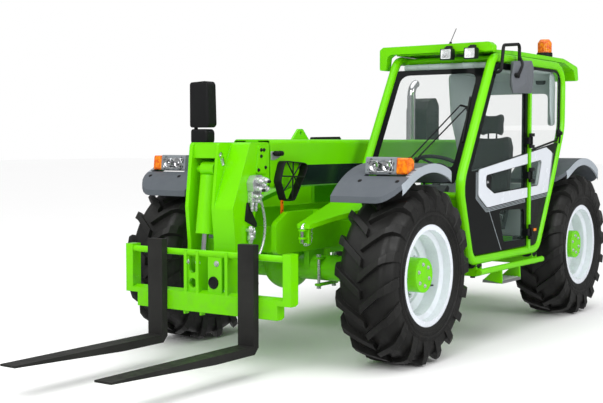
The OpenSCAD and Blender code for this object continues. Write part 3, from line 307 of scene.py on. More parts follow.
finish = {
    "lime": glossPaint("limePaint", (0.165, 0.66, 0.0006), (0.15, 0.61, 0.0005)),
    # the same lime made darker, with more dust: the darker tone is painted shade for the axles and the parts
    # under the body
    "limeDeep": glossPaint("limeAxlePaintedShade", (0.12, 0.53, 0.0006), (0.1, 0.46, 0.0005), dust=0.4, rough=0.28),
    "rim": glossPaint("rimPaint", (0.75, 0.79, 0.85), (0.71, 0.75, 0.81), dust=0.2, rough=0.24),
    "band": glossPaint("whiteBand", (0.66, 0.69, 0.74), (0.62, 0.65, 0.7), dust=0.0, rough=0.22),
    "fork": dryPlastic("forkBlack", (0.016, 0.016, 0.015), (0.026, 0.026, 0.024), 0.5, grain=240, depth=0.2),
    "guard": dryPlastic("mudguardGrey", (0.09, 0.103, 0.119), (0.105, 0.118, 0.134), rough=0.5, grain=700),
    "guardEdge": dryPlastic("mudguardEdge", (0.36, 0.4, 0.44), (0.33, 0.37, 0.41), rough=0.4, grain=700),
    "black": dryPlastic("blackPlastic", (0.008, 0.008, 0.009), (0.013, 0.013, 0.014), rough=0.42),
    "blackGloss": dryPlastic("blackPanel", (0.004, 0.005, 0.005), (0.006, 0.007, 0.007), 0.12,
                             depth=0.02, sheen=0.1),
    "iron": dryPlastic("castIron", (0.06, 0.06, 0.065), (0.04, 0.04, 0.045), rough=0.6, grain=300, depth=0.3),
    "lining": dryPlastic("cabLining", (0.46, 0.53, 0.53), (0.42, 0.49, 0.49), rough=0.6, grain=600),
    "dash": dryPlastic("dashPlastic", (0.05, 0.06, 0.06), (0.065, 0.075, 0.075), rough=0.6, grain=600),
    "shell": dryPlastic("lampShell", (0.23, 0.25, 0.27), (0.2, 0.22, 0.24), 0.35, grain=800, depth=0.06),
    "slate": dryPlastic("mirrorShell", (0.13, 0.14, 0.155), (0.115, 0.125, 0.14), rough=0.4, grain=700),
    "line": dryPlastic("bandLine", (0.36, 0.4, 0.43), (0.32, 0.36, 0.39), rough=0.3, grain=600, depth=0.02),
    "orange": dryPlastic("orangeTag", (0.9, 0.17, 0.004), (0.82, 0.14, 0.003), rough=0.4),
    "red": lampLens("redLens", (0.6, 0.01, 0.008), 130, 0.2),
    "lampFace": lampFace("lampReflector", (0.9, 0.92, 0.94), (0.35, 0.38, 0.4), 42, 0.75),
    "workFace": lampFace("workReflector", (0.95, 0.96, 0.97), (0.72, 0.75, 0.77), 55, 0.25),
    "zinc": bareMetal("zincPlate", (0.72, 0.73, 0.75), 0.26, (20, 20, 20), 0.03, 0.7),
    "silver": bareMetal("mirrorSilver", (0.85, 0.87, 0.88), 0.04, (1, 1, 1), 0.0),
    "tread": bareMetal("treadPlate", (0.55, 0.56, 0.57), 0.4, (30, 30, 30), 0.08),
    "deepBand": dryPlastic("boomBandFilm", (0.006, 0.014, 0.012), (0.008, 0.018, 0.015), 0.2,
                           grain=500, depth=0.02),
    "tyre": tyreRubber("tyreRubber"),
    "glass": windowGlass("windowGlass", (0.2, 0.3, 0.27)),
    "amber": lampLens("amberLens", (1.0, 0.3, 0.001), 110, 0.1),
    "chrome": bareMetal("polishedRod", (0.82, 0.83, 0.85), 0.12, (2, 2, 2), 0.01),
    "steel": bareMetal("brushedSteel", (0.62, 0.63, 0.65), 0.3, shine=0.7),
    "cloth": wovenCloth("seatCloth", (0.012, 0.012, 0.013), (0.03, 0.03, 0.033))}
floor.data.materials.append(paleFloor("paleFloor"))

nodeFinish = {  # finish and the CAD nodes that wear it
    "lime": ["chassis_frame", "rear_body", "front_decks", "cab_frame", "cab_cowl", "cab_roof", "step",
             "boom_outer", "boom_inner", "boom_head", "carriage", "tilt_barrel", "lift_barrel",
             "engine_hood"],
    # painted shade: the axles, knuckles and engine tray wear the darker lime
    "limeDeep": ["front_axle", "rear_axle", "knuckle_fl", "knuckle_fr", "knuckle_rl", "knuckle_rr",
                 "engine_tray"],
    "rim": ["rim_fl", "rim_fr", "rim_rl", "rim_rr"],
    "tyre": ["tyre_fl", "tyre_fr", "tyre_rl", "tyre_rr"],
    "band": ["door_trim", "quarter_trim"],
    "fork": ["forks"],
    "guard": ["front_mudguards", "rear_mudguards"],
    "black": ["cab_panels", "seat", "steering_wheel", "right_mirrors", "work_lamps", "air_cleaner",
              "tow_jaws", "door_mirror"],
    "dash": ["console"],
    "shell": ["headlamps"],
    "blackGloss": ["door_panel"],
    "iron": ["engine"],
    "amber": ["amber_lamps"],
    "glass": ["cab_glass", "door_glass"],
    "chrome": ["tilt_rod", "lift_rod", "exhaust_pipe"],
    "steel": ["coupler_block"]}
for tone, names in nodeFinish.items():
    for name in names:
        nodes[name].data.materials.clear()
        nodes[name].data.materials.append(finish[tone])
print("stage: materials on the CAD nodes")


# modelling helpers; sizes in millimetres from the ground point below the front axle

def setMode(kind):
    bpy.ops.object.mode_set(mode=kind)


def dropSelection():
    if bpy.context.object and bpy.context.object.mode != "OBJECT":
        setMode("OBJECT")
    bpy.ops.object.select_all(action="DESELECT")


def pickOnly(piece):
    dropSelection()
    piece.select_set(True)
    bpy.context.view_layer.objects.active = piece


def pickFaces(piece, test):  # leaves the piece in edit mode with the chosen faces selected
    pickOnly(piece)
    setMode("EDIT")
    bpy.ops.mesh.select_mode(type="FACE")
    bpy.ops.mesh.select_all(action="DESELECT")
    setMode("OBJECT")
    for face in piece.data.polygons:
        face.select = test(face.center, face.normal)
    setMode("EDIT")


def facing(axis, sign):  # a test for the faces that look along an axis
    return lambda centre, normal: sign * normal[axis] > 0.9


frontFace, rearFace = facing(0, 1), facing(0, -1)
leftFace, rightFace = facing(1, 1), facing(1, -1)


def insetFaces(piece, test, *steps):  # steps of (inset, depth)
    pickFaces(piece, test)
    for inset, depth in steps:
        bpy.ops.mesh.inset(thickness=inset / 1000, depth=depth / 1000)
    setMode("OBJECT")


def settle(piece):  # place, turn and size go into the mesh
    pickOnly(piece)
    bpy.ops.object.transform_apply(location=True, rotation=True, scale=True)
    return piece


def addBlock(low, high):
    dropSelection()
    a, b = spot(*low), spot(*high)
    bpy.ops.mesh.primitive_cube_add(size=1, location=(a + b) / 2)
    bpy.context.object.scale = b - a
    return settle(bpy.context.object)


def addRound(start, end, radius, tip=None, sides=32):
    dropSelection()
    a, b = spot(*start), spot(*end)
    tip = radius if tip is None else tip
    bpy.ops.mesh.primitive_cone_add(vertices=sides, radius1=radius / 1000, radius2=tip / 1000,
                                    depth=(b - a).length, location=(a + b) / 2,
                                    rotation=(b - a).to_track_quat("Z", "Y").to_euler())
    return settle(bpy.context.object)


sideways = (math.pi / 2, 0, 0)  # a ring's turn to face left and right


def addRing(centre, radius, thick, turn=(0, 0, 0), sides=(32, 10)):
    dropSelection()
    bpy.ops.mesh.primitive_torus_add(major_radius=radius / 1000, minor_radius=thick / 1000, rotation=turn,
                                     location=spot(*centre), major_segments=sides[0], minor_segments=sides[1])
    return settle(bpy.context.object)


def sideOn(a, b, c):  # outline seen from the side
    return spot(a, c, b)


def frontOn(a, b, c):  # outline seen from the front
    return spot(c, a, b)


def thicken(place, start, end):
    setMode("EDIT")
    bpy.ops.mesh.select_all(action="SELECT")
    bpy.ops.mesh.extrude_region_move(TRANSFORM_OT_translate={"value": place(0, 0, end) - place(0, 0, start)})
    bpy.ops.mesh.select_all(action="SELECT")
    bpy.ops.mesh.normals_make_consistent(inside=False)
    setMode("OBJECT")


def addPlate(place, outline, start, end):
    dropSelection()
    bpy.ops.mesh.primitive_circle_add(vertices=len(outline), fill_type="NGON")
    piece = bpy.context.object
    for vert, (a, b) in zip(piece.data.vertices, outline):
        vert.co = place(a, b, start)
    thicken(place, start, end)
    return piece


def addFrame(place, outer, inner, start, end):  # plate between two outlines of as many points
    dropSelection()
    bpy.ops.mesh.primitive_circle_add(vertices=len(outer), fill_type="NOTHING")
    piece = bpy.context.object
    setMode("EDIT")
    bpy.ops.mesh.primitive_circle_add(vertices=len(inner), fill_type="NOTHING")
    setMode("OBJECT")
    for vert, (a, b) in zip(piece.data.vertices, [*outer, *inner]):
        vert.co = place(a, b, start)
    setMode("EDIT")
    bpy.ops.mesh.select_all(action="SELECT")
    bpy.ops.mesh.bridge_edge_loops()
    setMode("OBJECT")
    thicken(place, start, end)
    return piece


def addTube(path, radius, kind="NURBS", rounds=3):
    dropSelection()
    bpy.ops.curve.primitive_nurbs_path_add()
    line = bpy.context.object.data
    line.splines.clear()
    spline = line.splines.new(kind)
    spline.points.add(len(path) - 1)
    for point, place in zip(spline.points, path):
        point.co = (*(place if isinstance(place, Vector) else spot(*place)), 1)
    if kind == "NURBS":
        spline.order_u = 3
        spline.use_endpoint_u = True
    line.resolution_u = 8
    line.bevel_depth = radius / 1000
    line.bevel_resolution = rounds
    line.use_fill_caps = True
    bpy.ops.object.convert(target="MESH")
    return settle(bpy.context.object)


def roundedOutline(corners, radius, steps=5):
    count = len(corners)
    points = []
    for i in range(count):
        a, b, c = (Vector(corners[(i + k) % count]) for k in (-1, 0, 1))
        toA, toC = (a - b).normalized(), (c - b).normalized()
        half = toA.angle(toC) / 2
        reach = min(radius / math.tan(half), 0.45 * (a - b).length, 0.45 * (c - b).length)
        first, last = b + toA * reach, b + toC * reach
        for k in range(steps + 1):
            t = k / steps
            points.append(tuple(first.lerp(b, t).lerp(b.lerp(last, t), t)))
    return points


def roundedBox(a0, a1, b0, b1, radius, steps=5):
    return roundedOutline([(a0, b0), (a1, b0), (a1, b1), (a0, b1)], radius, steps)


def roundEdges(piece, width, segments=2, angle=30):  # a piece, or a list to join first
    piece = joinPieces(piece) if isinstance(piece, list) else piece
    pickOnly(piece)
    bevel = piece.modifiers.new("edge", "BEVEL")
    bevel.width = width / 1000
    bevel.segments = segments
    bevel.limit_method = "ANGLE"
    bevel.angle_limit = math.radians(angle)
    bpy.ops.object.modifier_apply(modifier=bevel.name)
    return piece


def joinPieces(pieces):
    dropSelection()
    for piece in pieces:
        piece.select_set(True)
    bpy.context.view_layer.objects.active = pieces[0]
    bpy.ops.object.join()
    return bpy.context.object


def copyPiece(piece, matrix):
    pickOnly(piece)
    bpy.ops.object.duplicate(linked=False)
    twin = bpy.context.object
    twin.data.transform(matrix)
    if matrix.determinant() < 0:
        twin.data.flip_normals()
    return twin


def wear(piece, name, tone, body="chassis", smooth=32):
    piece.name = name
    piece.data.name = name
    piece.data.materials.clear()
    piece.data.materials.append(finish[tone])
    pickOnly(piece)
    bpy.ops.object.shade_smooth_by_angle(angle=math.radians(smooth))
    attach(piece, body)
    return piece


def paintFaces(name, tone, test):  # a second finish on some faces of a CAD node
    mesh = nodes[name].data
    mesh.materials.append(finish[tone])
    for face in mesh.polygons:
        if test(1000 * (face.center - spot(0, 0, 0)), face.normal):
            face.material_index = len(mesh.materials) - 1


def hexHeads(places, axis, radius, height):  # bolt heads with washers at (x, y, z), along a direction
    heads = []
    for place in places:
        base = Vector(place)
        heads.append(addRound(base, base + Vector(axis) * 0.25 * height, 1.35 * radius, sides=20))
        heads.append(addRound(base + Vector(axis) * 0.2 * height, base + Vector(axis) * height, radius,
                              0.92 * radius, sides=6))
    return roundEdges(heads, 0.06 * radius, 1)


# wheels: hub covers with bolts, wheel nuts, valves and tyre rings, modelled on the front left wheel

hub = {"radius": 110.5, "inner": 861, "face": 1003, "centre": 570, "bolts": 6, "boltRing": 70, "nuts": 10,
       "nutRing": 152, "disc": 860, "rearShift": -2.61}
toAxle = Matrix.Translation((axleX, 0, 0))
turnRound = toAxle @ Matrix.Rotation(math.pi, 4, "Z") @ toAxle.inverted()
toRear = Matrix.Translation((hub["rearShift"], 0, 0))
wheelPlaces = {"fl": Matrix.Identity(4), "fr": turnRound, "rl": toRear, "rr": toRear @ turnRound}


def aroundHub(count, ring, y, start=0.0):
    angles = [start + math.tau * k / count for k in range(count)]
    return [(ring * math.cos(angle), y, hub["centre"] + ring * math.sin(angle)) for angle in angles]


hubEnds = [(0, y, hub["centre"]) for y in (hub["inner"], hub["face"])]
hubCover = addRound(*hubEnds, hub["radius"], sides=72)
insetFaces(hubCover, leftFace, (9, 0), (3, -2.5), (60, 0), (4, 3))
roundEdges(hubCover, 3, 3)
hubBolts = hexHeads(aroundHub(hub["bolts"], hub["boltRing"], hub["face"] - 3, 0.35), (0, 1, 0), 10, 9)
wheelNuts = hexHeads(aroundHub(hub["nuts"], hub["nutRing"], hub["disc"]), (0, 1, 0), 15, 24)
valve = [addRound((-219, 884, 477), (-213, 938, 480), 9, 7, 20), addRing((-219, 889, 477), 10, 4, sideways),
         addRound((-213.4, 934, 479.8), (-211.6, 954, 480.7), 5, 5, 12)]
valveStem = roundEdges(valve, 1)
sidewall = {"outer": ((344, 1048.5), (352, 1051), (366, 1053.5), (374, 1053.5), (406, 1053.5), (413, 1053.5)),
            "middle": 862, "thick": 2.2}
wallRings = []
for radius, y in sidewall["outer"]:  # moulded rings on both walls of the tyre
    for wall in (y, 2 * sidewall["middle"] - y):
        wallRings.append(addRing((0, wall, hub["centre"]), radius, sidewall["thick"], sideways, (96, 8)))
tyreRibs = joinPieces(wallRings)
wheelSet = [(tyreRibs, "tyreRibs_", "tyre"), (hubCover, "hubCover_", "lime"), (hubBolts, "hubBolts_", "zinc"),
            (wheelNuts, "wheelNuts_", "zinc"), (valveStem, "valveStem_", "black")]
for corner, matrix in wheelPlaces.items():
    for piece, name, tone in wheelSet:
        wear(copyPiece(piece, matrix), name + corner, tone, "wheel_" + corner)
for piece, name, tone in wheelSet:
    bpy.data.objects.remove(piece)
print("stage: wheels")


# lamps: headlamps, work lamps, beacon

lamp = {"front": 284, "rake": 12, "low": 1210, "high": 1320, "middle": 845, "half": 88, "bowlOff": 45,
        "bowlZ": 1265, "work": (695, 880)}


def rakeBack(piece, low, high, rake):  # leans a front face as its lamp's does
    for vert in piece.data.vertices:
        vert.co.x -= rake / 1000 * (vert.co.z - low / 1000) / ((high - low) / 1000)
    return piece


def lampPane():
    y0, y1 = lamp["middle"] - lamp["half"], lamp["middle"] + lamp["half"]
    outline = roundedBox(y0, y1, lamp["low"] + 16, lamp["high"] - 18, 12)
    pane = addPlate(frontOn, outline, lamp["front"] - 4, lamp["front"] + 6)
    insetFaces(pane, frontFace, (6, 0), (5, -4), (3, 2))
    return roundEdges(rakeBack(pane, lamp["low"], lamp["high"], lamp["rake"]), 1.5)


def lampBowls():
    bowls = []
    for y in (lamp["middle"] - lamp["bowlOff"], lamp["middle"] + lamp["bowlOff"]):
        bowl = addRound((lamp["front"] + 2, y, lamp["bowlZ"]), (lamp["front"] + 9, y, lamp["bowlZ"]), 35, 33, 40)
        insetFaces(bowl, frontFace, (4, 0), (5, -4), (12, -2), (6, 4))
        bowls.append(bowl)
    return rakeBack(joinPieces(bowls), lamp["low"], lamp["high"], lamp["rake"])


headPane, headBowls = lampPane(), lampBowls()
otherSide = Matrix.Translation((0, -2 * lamp["middle"] / 1000, 0))
for side, matrix in (("left", Matrix.Identity(4)), ("right", otherSide)):
    wear(copyPiece(headPane, matrix), "headPane_" + side, "lampFace")
    wear(copyPiece(headBowls, matrix), "headBowls_" + side, "chrome")
for spare in (headPane, headBowls):
    bpy.data.objects.remove(spare)
for number, y in enumerate(lamp["work"]):
    pane = addPlate(frontOn, roundedBox(y - 37, y + 37, 1996, 2063, 9), -868, -859)
    insetFaces(pane, frontFace, (4, 0), (2, -3))
    rakeBack(pane, 1990, 2070, 6)
    wear(roundEdges(pane, 1.2), "workPane_%d" % number, "workFace")
    clamp = [addBlock((-930, y - 20, 2066), (-880, y + 20, 2078)),
             addRound((-905, y - 26, 2074), (-905, y + 26, 2074), 9, sides=20)]
    wear(roundEdges(clamp, 2), "workClamp_%d" % number, "black")
paintFaces("amber_lamps", "black", lambda centre, normal: centre.x < -2000 and centre.z < 2113)
beacon = {"place": (-2250, 860), "ribs": 18, "low": 2116, "high": 2200, "radius": 51}
oneRib = addBlock((beacon["place"][0] - 2, beacon["place"][1] + beacon["radius"], beacon["low"]),
                  (beacon["place"][0] + 2, beacon["place"][1] + beacon["radius"] + 4, beacon["high"]))
toBeacon = Matrix.Translation(spot(*beacon["place"], 0))
turns = [Matrix.Rotation(math.tau * k / beacon["ribs"], 4, "Z") for k in range(beacon["ribs"])]
ribs = [copyPiece(oneRib, toBeacon @ turn @ toBeacon.inverted()) for turn in turns]
bpy.data.objects.remove(oneRib)
wear(roundEdges(ribs, 1, 1), "beaconRibs", "amber")
collar = addRing((*beacon["place"], beacon["low"]), 57, 5, sides=(48, 10))
wear(collar, "beaconCollar", "black")
print("stage: lamps")


# mirrors: two heads on the right, one on the door

rightHeads = [(-620, -470, 1400, 1500), (-620, -458, 1510, 1820)]
for number, (y0, y1, z0, z1) in enumerate(rightHeads):
    pane = addPlate(frontOn, roundedBox(y0 + 10, y1 - 10, z0 + 10, z1 - 10, 18), 276, 280.5)
    wear(roundEdges(pane, 1), "mirrorPane_%d" % number, "silver")
    shell = addPlate(frontOn, roundedBox(y0 + 4, y1 - 4, z0 + 4, z1 - 4, 22), 348, 356)
    insetFaces(shell, frontFace, (9, 6))
    wear(roundEdges(shell, 3), "mirrorShell_%d" % number, "black")
ridge = [(-1312, 1941), (-1327, 1838)]  # the door mirror's two facets meet along it
headFacets = [[(-1519, 2008), *ridge, (-1525, 1768), (-1200, 1760), (-1168, 1851), (-1214, 1988)],
              [(-1519, 2008), (-1558, 1962), (-1555, 1849), (-1525, 1768), *ridge[::-1]]]
facets = []
for outline in headFacets:
    facet = addPlate(sideOn, outline, 1052, 1063)
    pickFaces(facet, lambda centre, normal: True)
    bpy.ops.mesh.quads_convert_to_tris()
    setMode("OBJECT")
    for vert in facet.data.vertices:
        at = 1000 * (vert.co - spot(0, 0, 0))
        if at.y > 1060 and any((Vector((at.x, at.z)) - Vector(point)).length < 1 for point in ridge):
            vert.co.y += 0.04
    facets.append(facet)
wear(roundEdges(facets, 2, 2, 20), "mirrorBack", "slate", "door", smooth=15)
paintFaces("door_mirror", "slate", lambda centre, normal: centre.z < 1993 and centre.x < -1190)
knobArm = [(-1330, 1048, 2030), (-1328, 1062, 2004), (-1296, 1092, 1972), (-1240, 1096, 1910),
           (-1214, 1092, 1885)]
knob = [addRound((-1214, 1056, 1885), (-1214, 1100, 1885), 19, 16, 24),
        addRing((-1214, 1094, 1885), 17, 5, sideways), addTube(knobArm, 10)]
wear(roundEdges(knob, 2), "mirrorKnob", "black", "door")
print("stage: mirrors")


# cab: windscreen border, wipers, antenna, seat, lining and controls

screen = {"foot": (-505, 1120), "top": (-1010, 2010), "left": 954, "right": 254, "start": 14, "end": 929}
screenRun = Vector((screen["top"][0] - screen["foot"][0], screen["top"][1] - screen["foot"][1]))


def onScreen(y, up, lift):  # y across, up along the slope, lift off the glass
    along = screenRun.normalized()
    x = screen["foot"][0] + along.x * up + along.y * lift
    z = screen["foot"][1] + along.y * up - along.x * lift
    return spot(x, y, z)


outerLoop = roundedBox(screen["right"] + 2, screen["left"] - 2, screen["start"], screen["end"], 12)
innerLoop = roundedBox(screen["right"] + 46, screen["left"] - 46, screen["start"] + 92,
                       screen["end"] - 42, 75)
wear(addFrame(onScreen, outerLoop, innerLoop, 3.4, 5), "screenBorder", "blackGloss")

wiper = {"feet": ((568, 187), (621, 187)), "tips": ((849, 617), (904, 603)), "lift": 20,
         "blade": ((902, 690), (934, 330)), "link": (912, 575)}
arms = []
for foot, tip in zip(wiper["feet"], wiper["tips"]):
    arms.append(addTube([onScreen(*foot, wiper["lift"]), onScreen(*tip, wiper["lift"])], 5, "POLY"))
    a, b = (onScreen(*foot, lift) - spot(0, 0, 0) for lift in (3, 30))
    arms.append(addRound(1000 * a, 1000 * b, 15, 12, 24))
blade = [onScreen(*place, 9) for place in wiper["blade"]]
arms.append(addTube(blade, 7, "POLY"))
carrier = [onScreen(*tip, 18) for tip in wiper["tips"]]
arms.append(addTube([*carrier, onScreen(*wiper["link"], 14)], 8, "POLY"))
wear(joinPieces(arms), "wipers", "black")

whip = [addRound((-962, 683, 2100), (-962, 684, 2124), 13, 8, 24),
        addTube([(-962, 684, 2122), (-962, 700, 2158), (-962, 728, 2215)], 2.6)]
wear(joinPieces(whip), "antenna", "black")

seatPads = {  # centre, length, width, thickness, lean in degrees, crown
    "seatCushion": ((-1438, 610, 815), 520, 420, 126, 3, 16),
    "seatBack": ((-1768, 610, 1150), 640, 400, 112, 99, 14),
    "seatHead": ((-1822, 610, 1545), 180, 220, 62, 96, 8)}
puff = {"voxel": 0.009, "pressure": 4.0, "frames": 20, "cap": 0.012, "start": 14, "seam": 0.004}


def swellPad(pad):  # cloth under pressure without gravity; no point moves further than the cap
    start = [vert.co.copy() for vert in pad.data.vertices]
    cloth = pad.modifiers.new("puff", "CLOTH")
    cloth.settings.use_pressure = True
    cloth.settings.uniform_pressure_force = puff["pressure"]
    cloth.settings.effector_weights.gravity = 0
    for number in range(1, puff["frames"] + 1):
        scene.frame_set(number)
    swollen = pad.evaluated_get(bpy.context.evaluated_depsgraph_get()).data
    ends = [vert.co.copy() for vert in swollen.vertices]
    pad.modifiers.remove(cloth)
    scene.frame_set(1)
    for vert, first, last in zip(pad.data.vertices, start, ends):
        move = last - first
        vert.co = first + move * min(1, puff["cap"] / max(move.length, 1e-9))


def buildPad(centre, length, width, thick, lean, crown):
    dropSelection()
    bpy.ops.mesh.primitive_cube_add(size=1)
    pad = bpy.context.object
    pad.scale = tuple((side - puff["start"]) / 1000 for side in (length, width, thick))
    settle(pad)
    setMode("EDIT")
    bpy.ops.mesh.select_all(action="SELECT")
    bpy.ops.mesh.subdivide(number_cuts=7)
    setMode("OBJECT")
    halfL, halfW, halfT = (side / 2000 for side in (length, width, thick))
    for vert in pad.data.vertices:  # the sides pull in between corners, the ends narrow and the top crowns
        u, v, w = vert.co.x / halfL, vert.co.y / halfW, vert.co.z / halfT
        vert.co.x *= 1 - 0.05 * (1 - v * v) * (1 if abs(u) > 0.9 else 0)
        vert.co.y *= (1 - 0.04 * (1 - u * u) * (1 if abs(v) > 0.9 else 0)) * (1 - max(0, abs(u) - 0.55) ** 2)
        vert.co.z *= 1 - 0.28 * max(abs(u), abs(v)) ** 6
        if w > 0.8:
            vert.co.z += crown / 1000 * (1 - u * u) * (1 - v * v)
    pad.data.remesh_voxel_size = puff["voxel"]
    bpy.ops.object.voxel_remesh()
    swellPad(pad)
    for vert in pad.data.vertices:  # two sewn channels along the pad and one across
        u, v = vert.co.x / halfL, vert.co.y / halfW
        if vert.co.z > 0:
            along = math.exp(-((abs(v) - 0.58) / 0.05) ** 2)
            across = math.exp(-((u - 0.25) / 0.04) ** 2) * (abs(v) < 0.58)
            vert.co.z -= puff["seam"] * min(1, along + across)
    soft = pad.modifiers.new("soft", "SUBSURF")
    soft.levels = 1
    soft.render_levels = 1
    bpy.ops.object.modifier_apply(modifier=soft.name)
    pad.data.transform(Matrix.Translation(spot(*centre)) @ Matrix.Rotation(math.radians(-lean), 4, "Y"))
    return pad


for name, sizes in seatPads.items():
    pad = wear(buildPad(*sizes), name, "cloth", smooth=60)
    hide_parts("seat")
base = [addBlock((-1600, 470, 586), (-1300, 760, 640)), addBlock((-1580, 490, 640), (-1320, 740, 745))]
for y in (575, 645):  # posts of the headrest
    base.append(addTube([(-1828, y, 1420), (-1832, y, 1520)], 7, "POLY"))
reclinerLine = [(-1560, 742), (-1706, 742), (-1812, 960), (-1752, 974), (-1664, 806), (-1560, 792)]
for y in (440, 772):  # plates that carry the back
    base.append(addPlate(sideOn, reclinerLine, y, y + 8))
for fold in range(4):
    base.append(addBlock((-1590, 482, 655 + 22 * fold), (-1310, 748, 667 + 22 * fold)))
base = wear(roundEdges(base, 5), "seatBase", "black")
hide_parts("seat")

lining = {
    "right": 262, "left": 946, "rear": -2258,
    "roof": [(-1080, 1978), (-1076, 1966), (-1112, 1950), (-2190, 1950), (-2240, 1900), (-2252, 1900),
             (-2252, 1930), (-2200, 1978)],
    "header": [(258, 1540), (258, 1952), (950, 1952), (950, 1540), (892, 1540), (892, 1795), (318, 1795),
               (318, 1540)],
    "side": [(-1742, 1950), (-2246, 1950), (-2246, 1560), (-2130, 1190), (-1960, 1190), (-1880, 1420),
             (-1790, 1600)],
    "quarter": [(-2150, 1950), (-2246, 1950), (-2246, 1560), (-2205, 1530), (-2165, 1640)]}
headliner = addPlate(sideOn, lining["roof"], lining["right"], lining["left"])
header = addPlate(frontOn, roundedOutline(lining["header"], 40), lining["rear"], lining["rear"] + 14)
sideWall = addPlate(sideOn, roundedOutline(lining["side"], 60), 263, 275)
quarterWall = addPlate(sideOn, roundedOutline(lining["quarter"], 25), 938, 947)
wear(roundEdges([headliner, header, sideWall, quarterWall], 4), "cabLining", "lining")
vents = []
for y in (330, 790):
    vent = addPlate(frontOn, roundedBox(y, y + 84, 1868, 1922, 20), lining["rear"] + 13, lining["rear"] + 18)
    insetFaces(vent, frontFace, (5, 0), (3, -3))
    vents.append(vent)
wear(roundEdges(vents, 1, 1), "cabVents", "black")
blind = [addRound((-1036, 280, 1952), (-1036, 930, 1952), 25, sides=32)]
for y in range(300, 920, 90):
    blind.append(addRing((-1036, y, 1952), 25.5, 3, sideways, (28, 8)))
for y in (300, 910):  # its brackets on the headliner
    blind.append(addBlock((-1094, y - 6, 1944), (-1030, y + 6, 1970)))
wear(joinPieces(blind), "sunBlind", "lining")

dashLine = [(-884, 1004), (-930, 1085), (-905, 1108), (-830, 1060), (-808, 1003)]
dash = addPlate(sideOn, roundedOutline(dashLine, 18), 470, 700)
wear(roundEdges(dash, 6, 3), "dashHood", "dash")
stick = [addTube([(-1250, 330, 1020), (-1240, 330, 1080), (-1225, 330, 1130)], 9),
         addRound((-1228, 330, 1118), (-1212, 330, 1178), 20, 26, 24),
         addRound((-1262, 330, 1015), (-1256, 330, 1048), 34, 16, 28)]
wear(roundEdges(stick, 4, 3), "joystick", "black")
print("stage: cab")


# door and side: lines round the pale band, seam, paddle, lock, latch, window seal, reflector

bandLine = {"offsets": (8, 18, 28), "width": 4.5, "doorFace": 1004.1, "quarterFace": 1000.1, "thick": 1.2,
            "door": [(-760, 1205), (-758, 1043), (-899, 956), (-1560, 997)],
            "quarter": [(-1672, 1004), (-1990, 1024), (-2074, 1330)]}


def shiftLine(points, distance):  # open line moved to its left
    moved = []
    for i, point in enumerate(points):
        here = Vector(point)
        legs = [k for k in (i - 1, i) if 0 <= k < len(points) - 1]
        ways = [(Vector(points[k + 1]) - Vector(points[k])).normalized() for k in legs]
        normals = [Vector((-way.y, way.x)) for way in ways]
        out = sum(normals, Vector((0, 0)))
        moved.append(tuple(here + out * distance / (out.dot(normals[0]))))
    return moved


def bandStrips(points, face):
    strips = []
    for offset in bandLine["offsets"]:
        outline = shiftLine(points, offset) + shiftLine(points, offset + bandLine["width"])[::-1]
        strips.append(addPlate(sideOn, outline, face, face + bandLine["thick"]))
    return joinPieces(strips)


wear(bandStrips(bandLine["door"], bandLine["doorFace"]), "doorLines", "line", "door")
wear(bandStrips(bandLine["quarter"], bandLine["quarterFace"]), "quarterLines", "line")
seamStrip = addPlate(sideOn, [(-930, 940), (-936, 940), (-1148, 640), (-1141, 640)], 1004.1, 1005.2)
wear(seamStrip, "doorSeam", "line", "door")
paddleLine = [(-884, 1172), (-884, 1112), (-958, 1078), (-972, 1180)]
paddle = addPlate(sideOn, roundedOutline(paddleLine, 10), 1000, 1006)
insetFaces(paddle, leftFace, (9, 0), (4, -3))
wear(roundEdges(paddle, 1.5), "doorPaddle", "black", "door")
keyLock = addRound((-906, 1003, 1132), (-906, 1011, 1132), 10, 9, 28)
insetFaces(keyLock, leftFace, (3, 0), (1.5, -1.5))
wear(keyLock, "doorLock", "zinc", "door")
latch = [addBlock((-2226, 988, 1452), (-2188, 1012, 1510)),
         addRound((-2207, 1008, 1480), (-2207, 1032, 1480), 18, 15, 24),
         addTube([(-2207, 1016, 1495), (-2190, 1022, 1440), (-2186, 1016, 1400)], 7)]
wear(roundEdges(latch, 3), "quarterLatch", "black")
sealOut = roundedOutline([(-1625, 1334), (-1625, 1976), (-2262, 1974), (-2257, 1530), (-2238, 1424)], 70, 6)
sealIn = roundedOutline([(-1641, 1348), (-1641, 1956), (-2242, 1954), (-2237, 1532), (-2222, 1432)], 60, 6)
wear(addFrame(sideOn, sealOut, sealIn, 978, 994), "quarterSeal", "black")
reflector = addPlate(sideOn, roundedBox(-1776, -1728, 735, 756, 7), 999, 1006)
insetFaces(reflector, leftFace, (3, 0), (1, -1.5))
wear(roundEdges(reflector, 1), "sideReflector", "amber")
paintFaces("cab_panels", "lining", lambda centre, normal: centre.y < 400 and normal.y > 0.9)
paintFaces("cab_panels", "lining", lambda centre, normal: centre.x < -1750 and normal.x > 0.5)
print("stage: door trim")


# boom: bare black band, hose guard, roller bracket, head fittings

boomFace = {"left": 90, "band": [(76, 1122), (72, 1258), (-1220, 1258), (-1180, 1122)]}
bandPlate = addPlate(sideOn, boomFace["band"], boomFace["left"] - 0.5, boomFace["left"] + 1.2)
wear(bandPlate, "boomBand", "deepBand", "boom")

